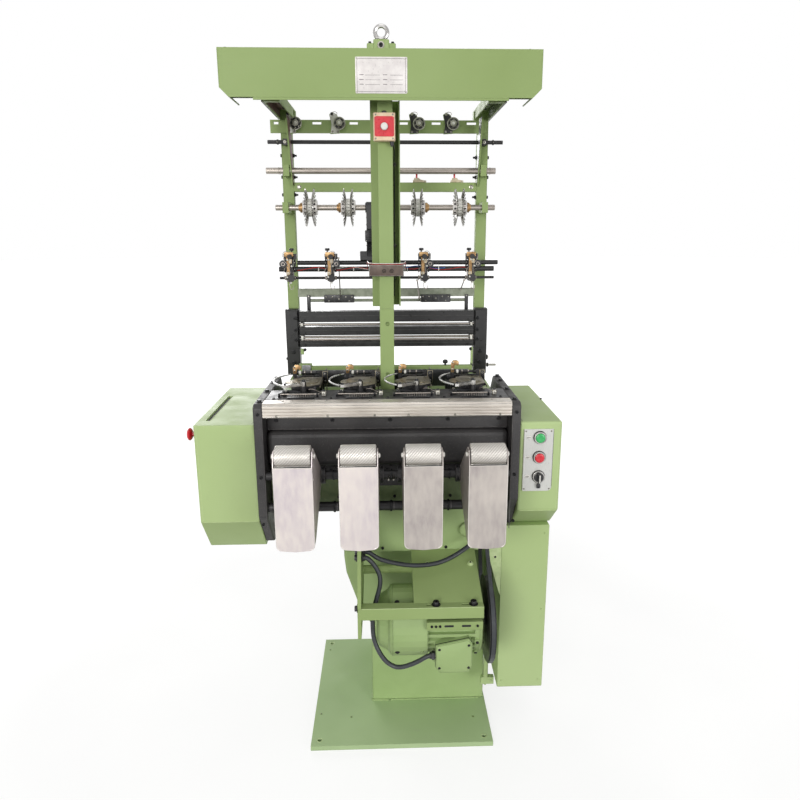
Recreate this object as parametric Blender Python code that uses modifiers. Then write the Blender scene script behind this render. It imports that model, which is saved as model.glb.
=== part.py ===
"""Four-head needle loom for narrow tapes, modelled at rest.

Metres, +Z up. X runs across the machine, the front faces -Y, and the origin
lies on the floor under the base plate.
"""

import math

import bpy
import bmesh
from mathutils import Matrix, Vector

for old in list(bpy.data.objects):
    bpy.data.objects.remove(old, do_unlink=True)

# Clearances
SEAT = 0.0003
RUN = 0.0003
SIDE_PLAY = 0.0006

# Half the width of the bed, which the sides, rails, motor and heads follow
BED_HALF = 0.3424

# Base plate and pedestal
PED_INSET = 0.0284
PED_RIGHT = BED_HALF - PED_INSET
BASE_LEFT = -0.250
BASE_RIGHT = PED_RIGHT + 0.005
BASE_FRONT = -0.265
BASE_BACK = 0.303
BASE_THICK = 0.016
BASE_HOLE_INSET = 0.026
BASE_HOLE_R = 0.007
PED_LEFT = -0.061
PED_FRONT = -0.058
PED_BACK = 0.270
PED_FLARE = 0.084
PED_FLARE_TALL = 0.330

# Bed casting
BED_LOW = 0.634
BED_TALL = 0.426
BED_TOP = BED_LOW + BED_TALL
BED_LOWER_TALL = 0.141
BED_LOWER_LEFT = -0.134
BED_LOWER_INSET = 0.0744
BED_LOWER_RIGHT = BED_HALF - BED_LOWER_INSET
BED_LOWER_FRONT = -0.190
BED_FRONT = -0.170
BED_BACK = 0.200
BED_SHELF_DROP = 0.175
BED_WALL_FRONT = -0.090
ARM_WIDE = 0.042
ARM_BACK = 0.470
ARM_TALL = 0.075
BOSS_R = 0.021
BOSS_SPOTS = ((0.150, 0.051), (0.038, 0.071))

# Side frames
FRAME_IN = BED_HALF + SEAT
FRAME_THICK = 0.026
FRAME_OUT = FRAME_IN + FRAME_THICK
FRAME_FRONT = -0.262
FRAME_BACK = 0.160
FRAME_RISE = 0.049
FRAME_TOP = BED_TOP + FRAME_RISE
FRAME_LOW_L = 0.032
FRAME_CORNER = 0.115
GROUND_R = 0.012

# Covers and belt guard
COVER_FRONT = -0.248
COVER_BACK = 0.215
COVER_DROP = 0.011
COVER_TOP = BED_TOP - COVER_DROP
COVER_L_WIDE = 0.167
COVER_L_TALL = 0.399
COVER_R_WIDE = 0.120
COVER_R_TALL = 0.338
COVER_CHAMFER_Y = 0.085
COVER_L_CHAMFER_Z = 0.112
COVER_R_CHAMFER_Z = 0.072
GUARD_TUCK = 0.0307
GUARD_LEFT = FRAME_OUT - GUARD_TUCK
GUARD_WIDE = 0.144
GUARD_FRONT = -0.190
GUARD_BACK = 0.170
GUARD_LOW = 0.155

# Front of the bed
BEAM_FRONT = -0.225
BEAM_DROP = 0.040
BEAM_TALL = 0.104
BREAST_FRONT = -0.262
BREAST_DEEP = 0.047
BREAST_RISE = 0.0105
BREAST_TALL = 0.041
RAIL_FRONT = -0.205
RAIL_BACK = -0.092
RAIL_RISE = 0.022
RAIL_TALL = 0.028

# Weaving heads
HEAD_COUNT = 4
HEAD_MARGIN = 0.0312
HEAD_PITCH = (2 * BED_HALF - HEAD_MARGIN) / HEAD_COUNT
HEAD_SHIFT = 0.006
PLATE_SHIFT = -0.0135
PLATE_HALF_X = 0.054
HEAD_RISE = 0.068
HEAD_TOP = BED_TOP + HEAD_RISE
NEEDLE_GAP = 0.012
NEEDLE_Z = HEAD_TOP + NEEDLE_GAP
NEEDLE_R = 0.0021
NEEDLE_BOW_R = 0.108
PIVOT_DX = 0.010
PIVOT_Y = -0.140
PIVOT_R = 0.008

# Take-down
CHUTE_SHAFT_Y = -0.250
CHUTE_SHAFT_DROP = 0.159
CHUTE_SHAFT_Z = BED_TOP - CHUTE_SHAFT_DROP
CHUTE_SHAFT_R = 0.0125
COLLAR_R = 0.0235
COLLAR_WIDE = 0.012
LOWER_SHAFT_Y = -0.235
LOWER_SHAFT_DROP = 0.260
LOWER_SHAFT_R = 0.014
CHUTE_HALF = 0.0495
CHUTE_FRONT = -0.460
CHUTE_TALL = 0.224
CHUTE_DROP = 0.063
CHUTE_SHEET = 0.0025
CHUTE_CORNER = 0.014
NIP_Y = -0.433
NIP_RISE = 0.118
NIP_Z = CHUTE_SHAFT_Z + NIP_RISE
NIP_R = 0.027
NIP_PIN_R = 0.006

# Uprights
UPRIGHT_INSET = 0.0234
UPRIGHT_IN = BED_HALF - UPRIGHT_INSET
UPRIGHT_WIDE = 0.036
UPRIGHT_OUT = UPRIGHT_IN + UPRIGHT_WIDE
UPRIGHT_FRONT = 0.420
UPRIGHT_DEEP = 0.036
UPRIGHT_RISE = 0.906
UPRIGHT_TOP = BED_TOP + UPRIGHT_RISE
TOP_ARM_TALL = 0.032
TOP_ARM_WIDE = 0.050
TOP_ARM_WALL = 0.004
GUSSET_TALL = 0.215
GUSSET_DEEP = 0.110
BEARING_WALL = 0.008

# Column and top beam
COLUMN_HALF = 0.0215
COLUMN_FRONT = 0.015
COLUMN_DEEP = 0.050
CHANNEL_HALF = 0.0435
CHANNEL_DEEP = 0.047
CHANNEL_RISE = 0.280
CHANNEL_WALL = 0.004
TOP_SINK = 0.044
TOP_RISE = UPRIGHT_RISE - TOP_SINK
TOP_LOW = BED_TOP + TOP_RISE
TOP_TALL = 0.1235
TOP_HIGH = TOP_LOW + TOP_TALL
TOP_OVERHANG = 0.0976
TOP_HALF = BED_HALF + TOP_OVERHANG
TOP_SHIFT = -0.008
TOP_BACK_RISE = 0.020
TOP_FRONT = -0.060
TOP_DEEP = 0.135
TOP_LIP = 0.007
TOP_LIP_INSET = 0.090
TOP_LIP_HALF = TOP_HALF - TOP_LIP_INSET
TOP_SHEET = 0.003
TOP_CORNER = 0.024
EYE_R = 0.0170
EYE_WIRE = 0.0058

# Back rails and shafts
TENSION_DROP = 0.075
TENSION_RISE = UPRIGHT_RISE - TENSION_DROP
TENSION_TALL = 0.0425
TENSION_LEFT = -BED_HALF - 0.0466
TENSION_RIGHT = BED_HALF + 0.0026
TENSION_THICK = 0.006
SLOT_TALL = 0.008
SLOT_RISE = 0.028
SLOT_SHARES = (-1.0777, -0.6746, -0.3096, 0.1869, 0.5111, 0.8645)
SLOT_HALVES = (0.008, 0.015, 0.014, 0.014, 0.015, 0.016)
RAIL_SLOTS = [(BED_HALF * c - h, BED_HALF * c + h) for c, h in zip(SLOT_SHARES, SLOT_HALVES)]
TENSION_X = [BED_HALF * share for share in (-0.9141, -0.4848, 0.3037, 0.6425)]
TENSION_DISC_R = 0.021
ROD_DROP = 0.106
ROD_RISE = UPRIGHT_RISE - ROD_DROP
ROD_Z = BED_TOP + ROD_RISE
ROD_R = 0.0065
ROD_Y = 0.395
GUIDE_DROP = 0.1985
GUIDE_RISE = UPRIGHT_RISE - GUIDE_DROP
GUIDE_Z = BED_TOP + GUIDE_RISE
GUIDE_R = 0.0105
GUIDE_Y = 0.398
CROSS_DROP = 0.266
CROSS_RISE = UPRIGHT_RISE - CROSS_DROP
CROSS_TALL = 0.031
FEED_DROP = 0.322
FEED_RISE = UPRIGHT_RISE - FEED_DROP
FEED_Z = BED_TOP + FEED_RISE
FEED_Y = 0.340
FEED_R = 0.0095
WHEEL_R = 0.0643
WHEEL_HALF = 0.0165
WHEEL_RIM = 0.005
WHEEL_X = [BED_HALF * share for share in (-0.7462, -0.3709, 0.3183, 0.7331)]
HUB_R = 0.024
DRIVE_X = -0.0565
DRIVE_WIDE = 0.019

# Detector rack and lease bars
RACK_Y = 0.290
RACK_SHARE = 0.4448
RACK_RISE = UPRIGHT_RISE * RACK_SHARE
RACK_Z = BED_TOP + RACK_RISE
RACK_R = 0.0075
RACK_LOW_DROP = 0.021
RACK_LOW_R = 0.0085
RACK_THIN_DROP = 0.0505
RACK_THIN_R = 0.0045
STATION_X = [BED_HALF * share for share in (-0.949, -0.549, 0.371, 0.841)]
STATION_HALF = 0.011
CLAMP_HALF = 0.052
CLAMP_TALL = 0.034
CLAMP_THICK = 0.013
LEASE_RISE = 0.276
LEASE_TALL = 0.0295
LEASE_DROP = 0.013
LEASE_ROD_R = 0.0055
LEASE_BLOCK_X = (-BED_HALF / 2, BED_HALF / 2 + 0.006)
LEASE_LINK_LEFT = 0.0377
LEASE_LINK_RIGHT = 0.0287

# Harness
POST_INSET = 0.030
POST_IN = BED_HALF - POST_INSET
POST_WIDE = 0.048
POST_FRONT = 0.365
POST_DEEP = 0.036
POST_RISE = 0.238
BEAM_RISES = ((0.193, 0.038), (0.146, 0.030), (0.104, 0.022))
BEAM_FORWARD = 0.012
STRIP_RISES = (0.1835, 0.1385, 0.1285)
STRIP_R = 0.0038
BACK_RAIL_RISE = 0.042
BACK_RAIL_TALL = 0.027
BACK_RAIL_LEFT = 0.0504 - BED_HALF
BACK_RAIL_RIGHT = BED_HALF - 0.0584

# Buttons
STOP_X = -0.002
STOP_DROP = 0.0685
STOP_RISE = TOP_RISE - STOP_DROP
STOP_Z = BED_TOP + STOP_RISE
STOP_HALF = 0.031
STOP_DEPTH = 0.030
STOP_BUTTON_R = 0.010
SIDE_STOP_Y = -0.200
SIDE_STOP_DROP = 0.049
SIDE_STOP_R = 0.0185
SWITCH_ASIDE = 0.0065
SWITCH_X = FRAME_OUT + SEAT + COVER_R_WIDE / 2 - SWITCH_ASIDE
SWITCH_HALF = 0.042
SWITCH_RISE = 0.215
SWITCH_TALL = 0.184
SWITCH_THICK = 0.004
BUTTON_R = 0.0135
BEZEL_R = 0.0165
BUTTON_RISES = (0.160, 0.1015, 0.044)

# Motor and drive
MOTOR_Y = -0.290
MOTOR_DROP = 0.166
MOTOR_Z = BED_LOW - MOTOR_DROP
MOTOR_R = 0.080
MOTOR_LONG = 0.304
MOTOR_RIGHT = BED_LOWER_RIGHT
MOTOR_LEFT = MOTOR_RIGHT - MOTOR_LONG
FAN_R = 0.100
FIN_COUNT = 26
FIN_TALL = 0.012
PULLEY_GAP = 0.008
PULLEY_WIDE = 0.018
PULLEY_R = 0.122
PULLEY_X0 = MOTOR_RIGHT + PULLEY_GAP
MAIN_Y = -0.125
MAIN_RISE = 0.070
MAIN_Z = BED_LOW + MAIN_RISE
MAIN_R = 0.052
BELT_THICK = 0.008
BELT_WIDE = 0.012
BELT_SUNK = 0.004
BELT_PLAY = 0.0008
SHAFT_R = 0.012
SHELF_FRONT = -0.415
SHELF_DEEP = 0.030
SHELF_TALL = 0.034
CRADLE_REACH = 0.356
CRADLE_X = MOTOR_RIGHT - CRADLE_REACH
CRADLE_SHEET = 0.010
HOSE_R = 0.0065
HOSE_Y = -0.330

spots = [HEAD_SHIFT + HEAD_PITCH * (i - (HEAD_COUNT - 1) / 2) for i in range(HEAD_COUNT)]

model = bpy.data.collections.new("NeedleLoom")
bpy.context.scene.collection.children.link(model)
cutters = bpy.data.collections.new("Cutters")
bpy.context.scene.collection.children.link(cutters)
root = bpy.data.objects.new("needle_loom", None)
model.objects.link(root)


def material(name, color, metallic, roughness):
    made = bpy.data.materials.new(name)
    made.use_nodes = True
    shader = made.node_tree.nodes["Principled BSDF"]
    shader.inputs["Base Color"].default_value = (*color, 1.0)
    shader.inputs["Metallic"].default_value = metallic
    shader.inputs["Roughness"].default_value = roughness
    return made


green = material("green_paint", (0.35, 0.46, 0.19), 0.0, 0.45)
green_cast = material("green_casting", (0.28, 0.38, 0.17), 0.0, 0.6)
black = material("black_casting", (0.028, 0.028, 0.028), 0.2, 0.65)
black_steel = material("black_steel", (0.022, 0.022, 0.024), 0.4, 0.4)
steel = material("brushed_steel", (0.58, 0.57, 0.56), 0.9, 0.35)
alloy = material("aluminium", (0.62, 0.60, 0.57), 0.85, 0.4)
chrome = material("chrome", (0.66, 0.66, 0.67), 1.0, 0.2)
red = material("red_plastic", (0.72, 0.02, 0.04), 0.0, 0.35)
cream = material("cream_plastic", (0.80, 0.66, 0.45), 0.0, 0.5)
lamp_green = material("green_plastic", (0.03, 0.50, 0.16), 0.0, 0.3)
black_plastic = material("black_plastic", (0.02, 0.02, 0.02), 0.0, 0.45)
plate_grey = material("plate_grey", (0.62, 0.62, 0.60), 0.5, 0.4)
rubber = material("black_rubber", (0.02, 0.022, 0.025), 0.0, 0.55)


def mesh_object(name, bm):
    mesh = bpy.data.meshes.new(name)
    bmesh.ops.recalc_face_normals(bm, faces=bm.faces)
    if bm.calc_volume(signed=True) < 0:
        bmesh.ops.reverse_faces(bm, faces=bm.faces)
    bm.to_mesh(mesh)
    bm.free()
    return bpy.data.objects.new(name, mesh)


def block(x0, x1, y0, y1, z0, z1, bevel=0.0, segments=2):
    bm = bmesh.new()
    bmesh.ops.create_cube(bm, size=1.0)
    size = Matrix.Diagonal((x1 - x0, y1 - y0, z1 - z0, 1.0))
    middle = Vector(((x0 + x1) / 2, (y0 + y1) / 2, (z0 + z1) / 2))
    bm.transform(Matrix.Translation(middle) @ size)
    if bevel:
        bmesh.ops.bevel(
            bm, geom=bm.edges[:], offset=bevel, segments=segments, profile=0.5,
            affect="EDGES", clamp_overlap=True,
        )
    return mesh_object("block", bm)


turn = {
    "X": Matrix.Rotation(math.radians(90), 4, "Y"),
    "Y": Matrix.Rotation(math.radians(-90), 4, "X"),
    "Z": Matrix.Identity(4),
}


def spot_on(axis, centre, along):
    if axis == "X":
        return Vector((along, centre[0], centre[1]))
    if axis == "Y":
        return Vector((centre[0], along, centre[1]))
    return Vector((centre[0], centre[1], along))


def rod(axis, centre, radius, start, end, segments=20, radius_end=None):
    """A cylinder or cone along an axis; centre gives the two other coordinates."""
    bm = bmesh.new()
    bmesh.ops.create_cone(
        bm, cap_ends=True, segments=segments, radius1=radius,
        radius2=radius if radius_end is None else radius_end, depth=end - start,
    )
    bm.transform(Matrix.Translation(spot_on(axis, centre, (start + end) / 2)) @ turn[axis])
    for face in bm.faces:
        face.smooth = len(face.verts) == 4
    return mesh_object("rod", bm)


def realised(holder, matrix):
    bpy.context.scene.collection.objects.link(holder)
    bpy.context.view_layer.update()
    graph = bpy.context.evaluated_depsgraph_get()
    mesh = bpy.data.meshes.new_from_object(holder.evaluated_get(graph))
    bpy.data.objects.remove(holder, do_unlink=True)
    bm = bmesh.new()
    bm.from_mesh(mesh)
    bmesh.ops.remove_doubles(bm, verts=bm.verts[:], dist=0.00001)
    bm.transform(matrix)
    return mesh_object("outline", bm)


def outline(axis, points, start, end):
    """A flat outline with a thickness: X takes (y, z), Y takes (x, z), Z takes (x, y)."""
    curve = bpy.data.curves.new("outline", "CURVE")
    curve.dimensions = "2D"
    curve.fill_mode = "BOTH"
    curve.extrude = (end - start) / 2
    spline = curve.splines.new("POLY")
    spline.points.add(len(points) - 1)
    for point, (u, v) in zip(spline.points, points):
        point.co = (u, v, 0.0, 1.0)
    spline.use_cyclic_u = True
    middle = (start + end) / 2
    frames = {
        "X": Matrix(((0, 0, 1, middle), (1, 0, 0, 0), (0, 1, 0, 0), (0, 0, 0, 1))),
        "Y": Matrix(((1, 0, 0, 0), (0, 0, -1, middle), (0, 1, 0, 0), (0, 0, 0, 1))),
        "Z": Matrix(((1, 0, 0, 0), (0, 1, 0, 0), (0, 0, 1, middle), (0, 0, 0, 1))),
    }
    return realised(bpy.data.objects.new("outline", curve), frames[axis])


def wire(points, radius, segments=2):
    """A bent rod along points, with filled ends."""
    curve = bpy.data.curves.new("wire", "CURVE")
    curve.dimensions = "3D"
    curve.bevel_depth = radius
    curve.bevel_resolution = segments
    curve.use_fill_caps = True
    spline = curve.splines.new("POLY")
    spline.points.add(len(points) - 1)
    for point, spot in zip(spline.points, points):
        point.co = (*spot, 1.0)
    return realised(bpy.data.objects.new("wire", curve), Matrix.Identity(4))


def turned(axis, centre, along, profile, steps=40):
    """A turned shape: profile lists (distance along the axis, radius) from one end to the other."""
    bm = bmesh.new()
    rows = [bm.verts.new((radius, 0.0, -distance)) for distance, radius in profile]
    for one, two in zip(rows, rows[1:]):
        bm.edges.new((one, two))
    holder = mesh_object("turned", bm)
    screw = holder.modifiers.new("screw", "SCREW")
    screw.axis = "Z"
    screw.steps = steps
    screw.render_steps = steps
    screw.use_merge_vertices = True
    screw.merge_threshold = 0.0001
    screw.use_normal_calculate = True
    flip = Matrix.Rotation(math.radians(180), 4, "X")
    return realised(holder, Matrix.Translation(spot_on(axis, centre, along)) @ turn[axis] @ flip)


def arc(cx, cy, radius, start, end, count):
    """Points on a circle, by angles in degrees."""
    angles = [math.radians(start + (end - start) * i / (count - 1)) for i in range(count)]
    return [(cx + radius * math.cos(a), cy + radius * math.sin(a)) for a in angles]


def node(name, paint, base, add=(), cut=(), origin=None, bevel=0.0):
    """One named piece: the base shape, with others joined to it or cut from it."""
    base.name = name
    base.data.name = name
    base.data.materials.clear()
    base.data.materials.append(paint)
    model.objects.link(base)
    base.parent = root
    if origin is not None:
        spot = Vector(origin)
        base.data.transform(Matrix.Translation(-spot))
        base.location = spot
    steps = [(tool, "UNION") for tool in add] + [(tool, "DIFFERENCE") for tool in cut]
    if bevel:
        steps.append((None, "BEVEL"))
    for number, (tool, operation) in enumerate(steps):
        if tool is None:
            edge = base.modifiers.new("bevel", "BEVEL")
            edge.width = bevel
            edge.segments = 2
            edge.limit_method = "ANGLE"
            edge.angle_limit = math.radians(35)
            continue
        tool.name = f"{name}_tool_{number}"
        cutters.objects.link(tool)
        tool.hide_render = True
        tool.display_type = "WIRE"
        modifier = base.modifiers.new(f"{operation.lower()}_{number}", "BOOLEAN")
        modifier.operation = operation
        modifier.solver = "EXACT"
        modifier.object = tool
    return base


def build_base():
    inset = BASE_HOLE_INSET
    holes = []
    for x in (BASE_LEFT + inset, BASE_RIGHT - inset):
        for y in (BASE_FRONT + inset, BASE_BACK - inset):
            holes.append(rod("Z", (x, y), BASE_HOLE_R, -0.01, BASE_THICK + 0.01, 20))
    plate = block(BASE_LEFT, BASE_RIGHT, BASE_FRONT, BASE_BACK, 0.0, BASE_THICK)
    node("base_plate", green, plate, cut=holes)
    low = BASE_THICK + SEAT
    high = BED_LOW - SEAT
    neck = high - PED_FLARE_TALL
    far = PED_LEFT - PED_FLARE
    shape = [
        (PED_LEFT, low), (PED_RIGHT, low), (PED_RIGHT, high), (far, high),
        (far, high - 0.25 * PED_FLARE_TALL), (far + 0.07 * PED_FLARE, high - 0.42 * PED_FLARE_TALL),
        (far + 0.5 * PED_FLARE, high - 0.76 * PED_FLARE_TALL), (PED_LEFT, neck),
    ]
    node("pedestal", green_cast, outline("Y", shape, PED_FRONT, PED_BACK), bevel=0.006)


def build_bed():
    step = BED_LOW + BED_LOWER_TALL
    lower = block(
        BED_LOWER_LEFT, BED_LOWER_RIGHT, BED_LOWER_FRONT, BED_BACK - 0.01, BED_LOW, step + 0.02
    )
    shelf = BED_TOP - BED_SHELF_DROP
    shape = [
        (BED_FRONT, step), (BED_BACK, step), (BED_BACK, BED_TOP),
        (BED_WALL_FRONT, BED_TOP), (BED_WALL_FRONT, shelf), (BED_FRONT, shelf),
    ]
    upper = outline("X", shape, -BED_HALF, BED_HALF)
    low = BED_TOP - ARM_TALL
    arms = [
        block(BED_HALF - ARM_WIDE, BED_HALF, BED_BACK - 0.02, ARM_BACK, low, BED_TOP),
        block(-BED_HALF, ARM_WIDE - BED_HALF, BED_BACK - 0.02, ARM_BACK, low, BED_TOP),
    ]
    bosses = [
        rod(
            "Y", (BED_LOWER_RIGHT - aside, step - drop), BOSS_R,
            BED_LOWER_FRONT - 0.010, BED_LOWER_FRONT + 0.01, 16,
        )
        for aside, drop in BOSS_SPOTS
    ]
    node("bed_casting", green_cast, upper, add=[lower, *arms, *bosses])
    high = BED_TOP - BEAM_DROP
    beam = block(
        -BED_HALF, BED_HALF, BEAM_FRONT, BED_WALL_FRONT - SEAT, high - BEAM_TALL, high, 0.016, 3
    )
    node("main_beam", black, beam)


def side_frame(name, side, low):
    """A cast side wall that carries the beams, the bars and the shafts between its inner faces."""
    corner = FRAME_CORNER
    shape = [
        (FRAME_FRONT, low + corner), (FRAME_FRONT, FRAME_TOP - 0.010), (FRAME_FRONT + 0.014, FRAME_TOP),
        (FRAME_BACK - 0.06, FRAME_TOP), (FRAME_BACK, FRAME_TOP - 0.065), (FRAME_BACK, low + 0.04),
        (FRAME_BACK - 0.06, low), (FRAME_FRONT + 0.09, low),
    ]
    near, far = sorted((side * FRAME_IN, side * FRAME_OUT))
    node(name, black, outline("X", shape, near, far), bevel=0.004)


def build_sides():
    cover_r_low = COVER_TOP - COVER_R_TALL
    side_frame("side_frame_left", -1, BED_LOW + FRAME_LOW_L)
    side_frame("side_frame_right", 1, cover_r_low)
    low = COVER_TOP - COVER_L_TALL
    left = [
        (COVER_FRONT, low + COVER_L_CHAMFER_Z), (COVER_FRONT, COVER_TOP), (COVER_BACK, COVER_TOP),
        (COVER_BACK, low), (COVER_FRONT + COVER_CHAMFER_Y, low),
    ]
    inner = -FRAME_OUT - SEAT
    outer = inner - COVER_L_WIDE
    groove = block(
        outer + 0.022, outer + 0.034, COVER_FRONT + 0.05, COVER_BACK - 0.12, COVER_TOP - 0.005,
        COVER_TOP + 0.01,
    )
    node("cover_left", green, outline("X", left, outer, inner), cut=[groove], bevel=0.006)
    right = [
        (COVER_FRONT, cover_r_low + COVER_R_CHAMFER_Z), (COVER_FRONT, COVER_TOP),
        (COVER_BACK, COVER_TOP), (COVER_BACK, cover_r_low), (COVER_FRONT + COVER_CHAMFER_Y, cover_r_low),
    ]
    inner = FRAME_OUT + SEAT
    node("cover_right", green, outline("X", right, inner, inner + COVER_R_WIDE), bevel=0.006)
    guard = block(
        GUARD_LEFT, GUARD_LEFT + GUARD_WIDE, GUARD_FRONT, GUARD_BACK, GUARD_LOW, cover_r_low - SEAT,
        0.003, 2,
    )
    node("belt_guard", green, guard)


def build_front():
    low = BED_TOP + BREAST_RISE
    high = low + BREAST_TALL
    front = BREAST_FRONT
    back = front + BREAST_DEEP
    deep = 0.0025
    shape = [
        (back, low), (back, high - 0.002), (back - 0.002, high), (front + 0.006, high),
        (front, high - 0.006),
    ]
    for i in range(3):
        z = high - 0.012 - i * 0.009
        shape += [(front, z), (front + deep, z - 0.001), (front + deep, z - 0.003), (front, z - 0.004)]
    shape += [(front, low + 0.003), (front + 0.003, low)]
    node("breast_bar", alloy, outline("X", shape, -BED_HALF, BED_HALF))
    low = BED_TOP + RAIL_RISE
    rail = block(-BED_HALF, BED_HALF, RAIL_FRONT, RAIL_BACK, low, low + RAIL_TALL)
    parts = []
    top = HEAD_TOP
    for spot in spots:
        x = spot + PLATE_SHIFT
        half = PLATE_HALF_X
        nose = arc(x - half + 0.040, -0.062, 0.040, 100, 225, 9)
        shape = [
            (x + half, 0.006), (x - 0.012, 0.006), *nose, (x - 0.010, -0.124), (x + 0.026, -0.120),
            (x + half, -0.096),
        ]
        parts.append(outline("Z", shape, top - 0.008, top))
        parts.append(block(x - 0.030, x + 0.044, -0.112, -0.020, low + 0.004, top - 0.004, 0.003))
        parts.append(rod("Z", (x + PIVOT_DX, PIVOT_Y), PIVOT_R, low + 0.006, NEEDLE_Z - 0.006, 16))
        parts.append(block(x + 0.040, x + 0.050, -0.004, 0.026, BED_TOP + SEAT, top))
        parts.append(block(x + 0.040, x + 0.050, 0.016, 0.026, top - 0.01, top + 0.018))
        parts.append(rod("X", (0.021, top + 0.012), 0.004, x - 0.034, x + 0.044, 12))
        parts.append(block(x - 0.040, x - 0.030, 0.015, 0.027, BED_TOP + SEAT, top + 0.018))
    node("head_rail", black_steel, rail, add=parts)
    for number, spot in enumerate(spots, 1):
        px = spot + PLATE_SHIFT + PIVOT_DX
        hub = rod("Z", (px, PIVOT_Y), PIVOT_R, NEEDLE_Z - 0.006 + RUN, NEEDLE_Z + 0.007)
        arm = outline("Z", [
            (px, PIVOT_Y - 0.0075), (px, PIVOT_Y + 0.0075), (px - 0.050, PIVOT_Y - 0.022),
            (px - 0.059, PIVOT_Y - 0.028), (px - 0.055, PIVOT_Y - 0.037), (px - 0.044, PIVOT_Y - 0.035),
        ], NEEDLE_Z - 0.004, NEEDLE_Z + 0.004)
        bow = arc(px + 0.0153, PIVOT_Y + 0.0529, NEEDLE_BOW_R, 230.1, 130.6, 17)
        needle = wire([(x, y, NEEDLE_Z) for x, y in bow], NEEDLE_R, 1)
        node(f"weft_needle_{number}", chrome, hub, add=[arm, needle], origin=(px, PIVOT_Y, NEEDLE_Z))


def build_takedown():
    half = BED_HALF
    y, z = CHUTE_SHAFT_Y, CHUTE_SHAFT_Z
    rings = []
    for x in spots:
        edge = CHUTE_HALF + SIDE_PLAY
        rings.append(rod("X", (y, z), COLLAR_R, x + edge, x + edge + COLLAR_WIDE, 16))
        rings.append(rod("X", (y, z), COLLAR_R, x - edge - COLLAR_WIDE, x - edge, 16))
    node("chute_shaft", black_steel, rod("X", (y, z), CHUTE_SHAFT_R, -half, half, 16), add=rings)
    low_z = BED_TOP - LOWER_SHAFT_DROP
    lower = rod("X", (LOWER_SHAFT_Y, low_z), LOWER_SHAFT_R, -half, half, 24)
    node("lower_shaft", black_steel, lower)
    s = CHUTE_SHEET
    high = BED_TOP - CHUTE_DROP
    low = high - CHUTE_TALL
    front = CHUTE_FRONT
    hub_r = CHUTE_SHAFT_R + 0.006
    reach = NIP_R * 0.55
    for number, x in enumerate(spots, 1):
        x0, x1 = x - CHUTE_HALF, x + CHUTE_HALF
        c = CHUTE_CORNER
        tray = [
            (x0, high), *arc(x0 + c, low + c, c, 180, 262, 5), (x, low - 0.003),
            *arc(x1 - c, low + c, c, 278, 360, 5), (x1, high),
        ]
        face = outline("Y", tray, front, front + s)
        ear = [
            (front, high), (front, low + c), (front + 0.035, low + c + 0.004),
            *arc(y, z, hub_r, -70, 60, 5), (NIP_Y + reach, NIP_Z + reach),
            (NIP_Y - reach, NIP_Z + reach), (NIP_Y - NIP_R * 0.75, NIP_Z),
        ]
        sides = [outline("X", ear, x0, x0 + s), outline("X", ear, x1 - s, x1)]
        hub = rod("X", (y, z), hub_r, x0, x1, 16)
        bore = rod("X", (y, z), CHUTE_SHAFT_R + RUN, x0 - 0.01, x1 + 0.01, 16)
        pins = rod("X", (NIP_Y, NIP_Z), NIP_PIN_R + RUN, x0 - 0.01, x1 + 0.01, 12)
        node(f"chute_{number}", steel, face, add=[*sides, hub], cut=[bore, pins], origin=(x, y, z))
        inner = CHUTE_HALF - s - 0.002
        drum = turned("X", (NIP_Y, NIP_Z), x, [
            (-CHUTE_HALF - 0.003, 0.0), (-CHUTE_HALF - 0.003, NIP_PIN_R), (-inner, NIP_PIN_R),
            (-inner, NIP_R - 0.002), (-inner + 0.002, NIP_R), (inner - 0.002, NIP_R),
            (inner, NIP_R - 0.002), (inner, NIP_PIN_R), (CHUTE_HALF + 0.003, NIP_PIN_R),
            (CHUTE_HALF + 0.003, 0.0),
        ], 22)
        node(f"nip_roller_{number}", steel, drum, origin=(x, NIP_Y, NIP_Z))


def build_column():
    back = COLUMN_FRONT + COLUMN_DEEP
    far = back + CHANNEL_DEEP
    low = BED_TOP + CHANNEL_RISE
    high = TOP_LOW + TOP_BACK_RISE - 2 * SEAT
    top = TOP_HIGH - TOP_SHEET - SEAT
    post = block(-COLUMN_HALF, COLUMN_HALF, COLUMN_FRONT, back, BED_TOP + SEAT, top)
    channel = block(-CHANNEL_HALF, CHANNEL_HALF, back - 0.002, far, low, high)
    wall = CHANNEL_WALL
    slot = block(COLUMN_HALF - 0.008, CHANNEL_HALF - wall, back - 0.01, far - wall, low - 0.01, high + 0.01)
    holes = [
        rod("Y", (0.002, BED_TOP + rise), 0.006, COLUMN_FRONT - 0.01, COLUMN_FRONT + 0.008, 16)
        for rise in (0.0725, 0.231)
    ]
    node("column", green, post, add=[channel], cut=[slot, *holes])


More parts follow.
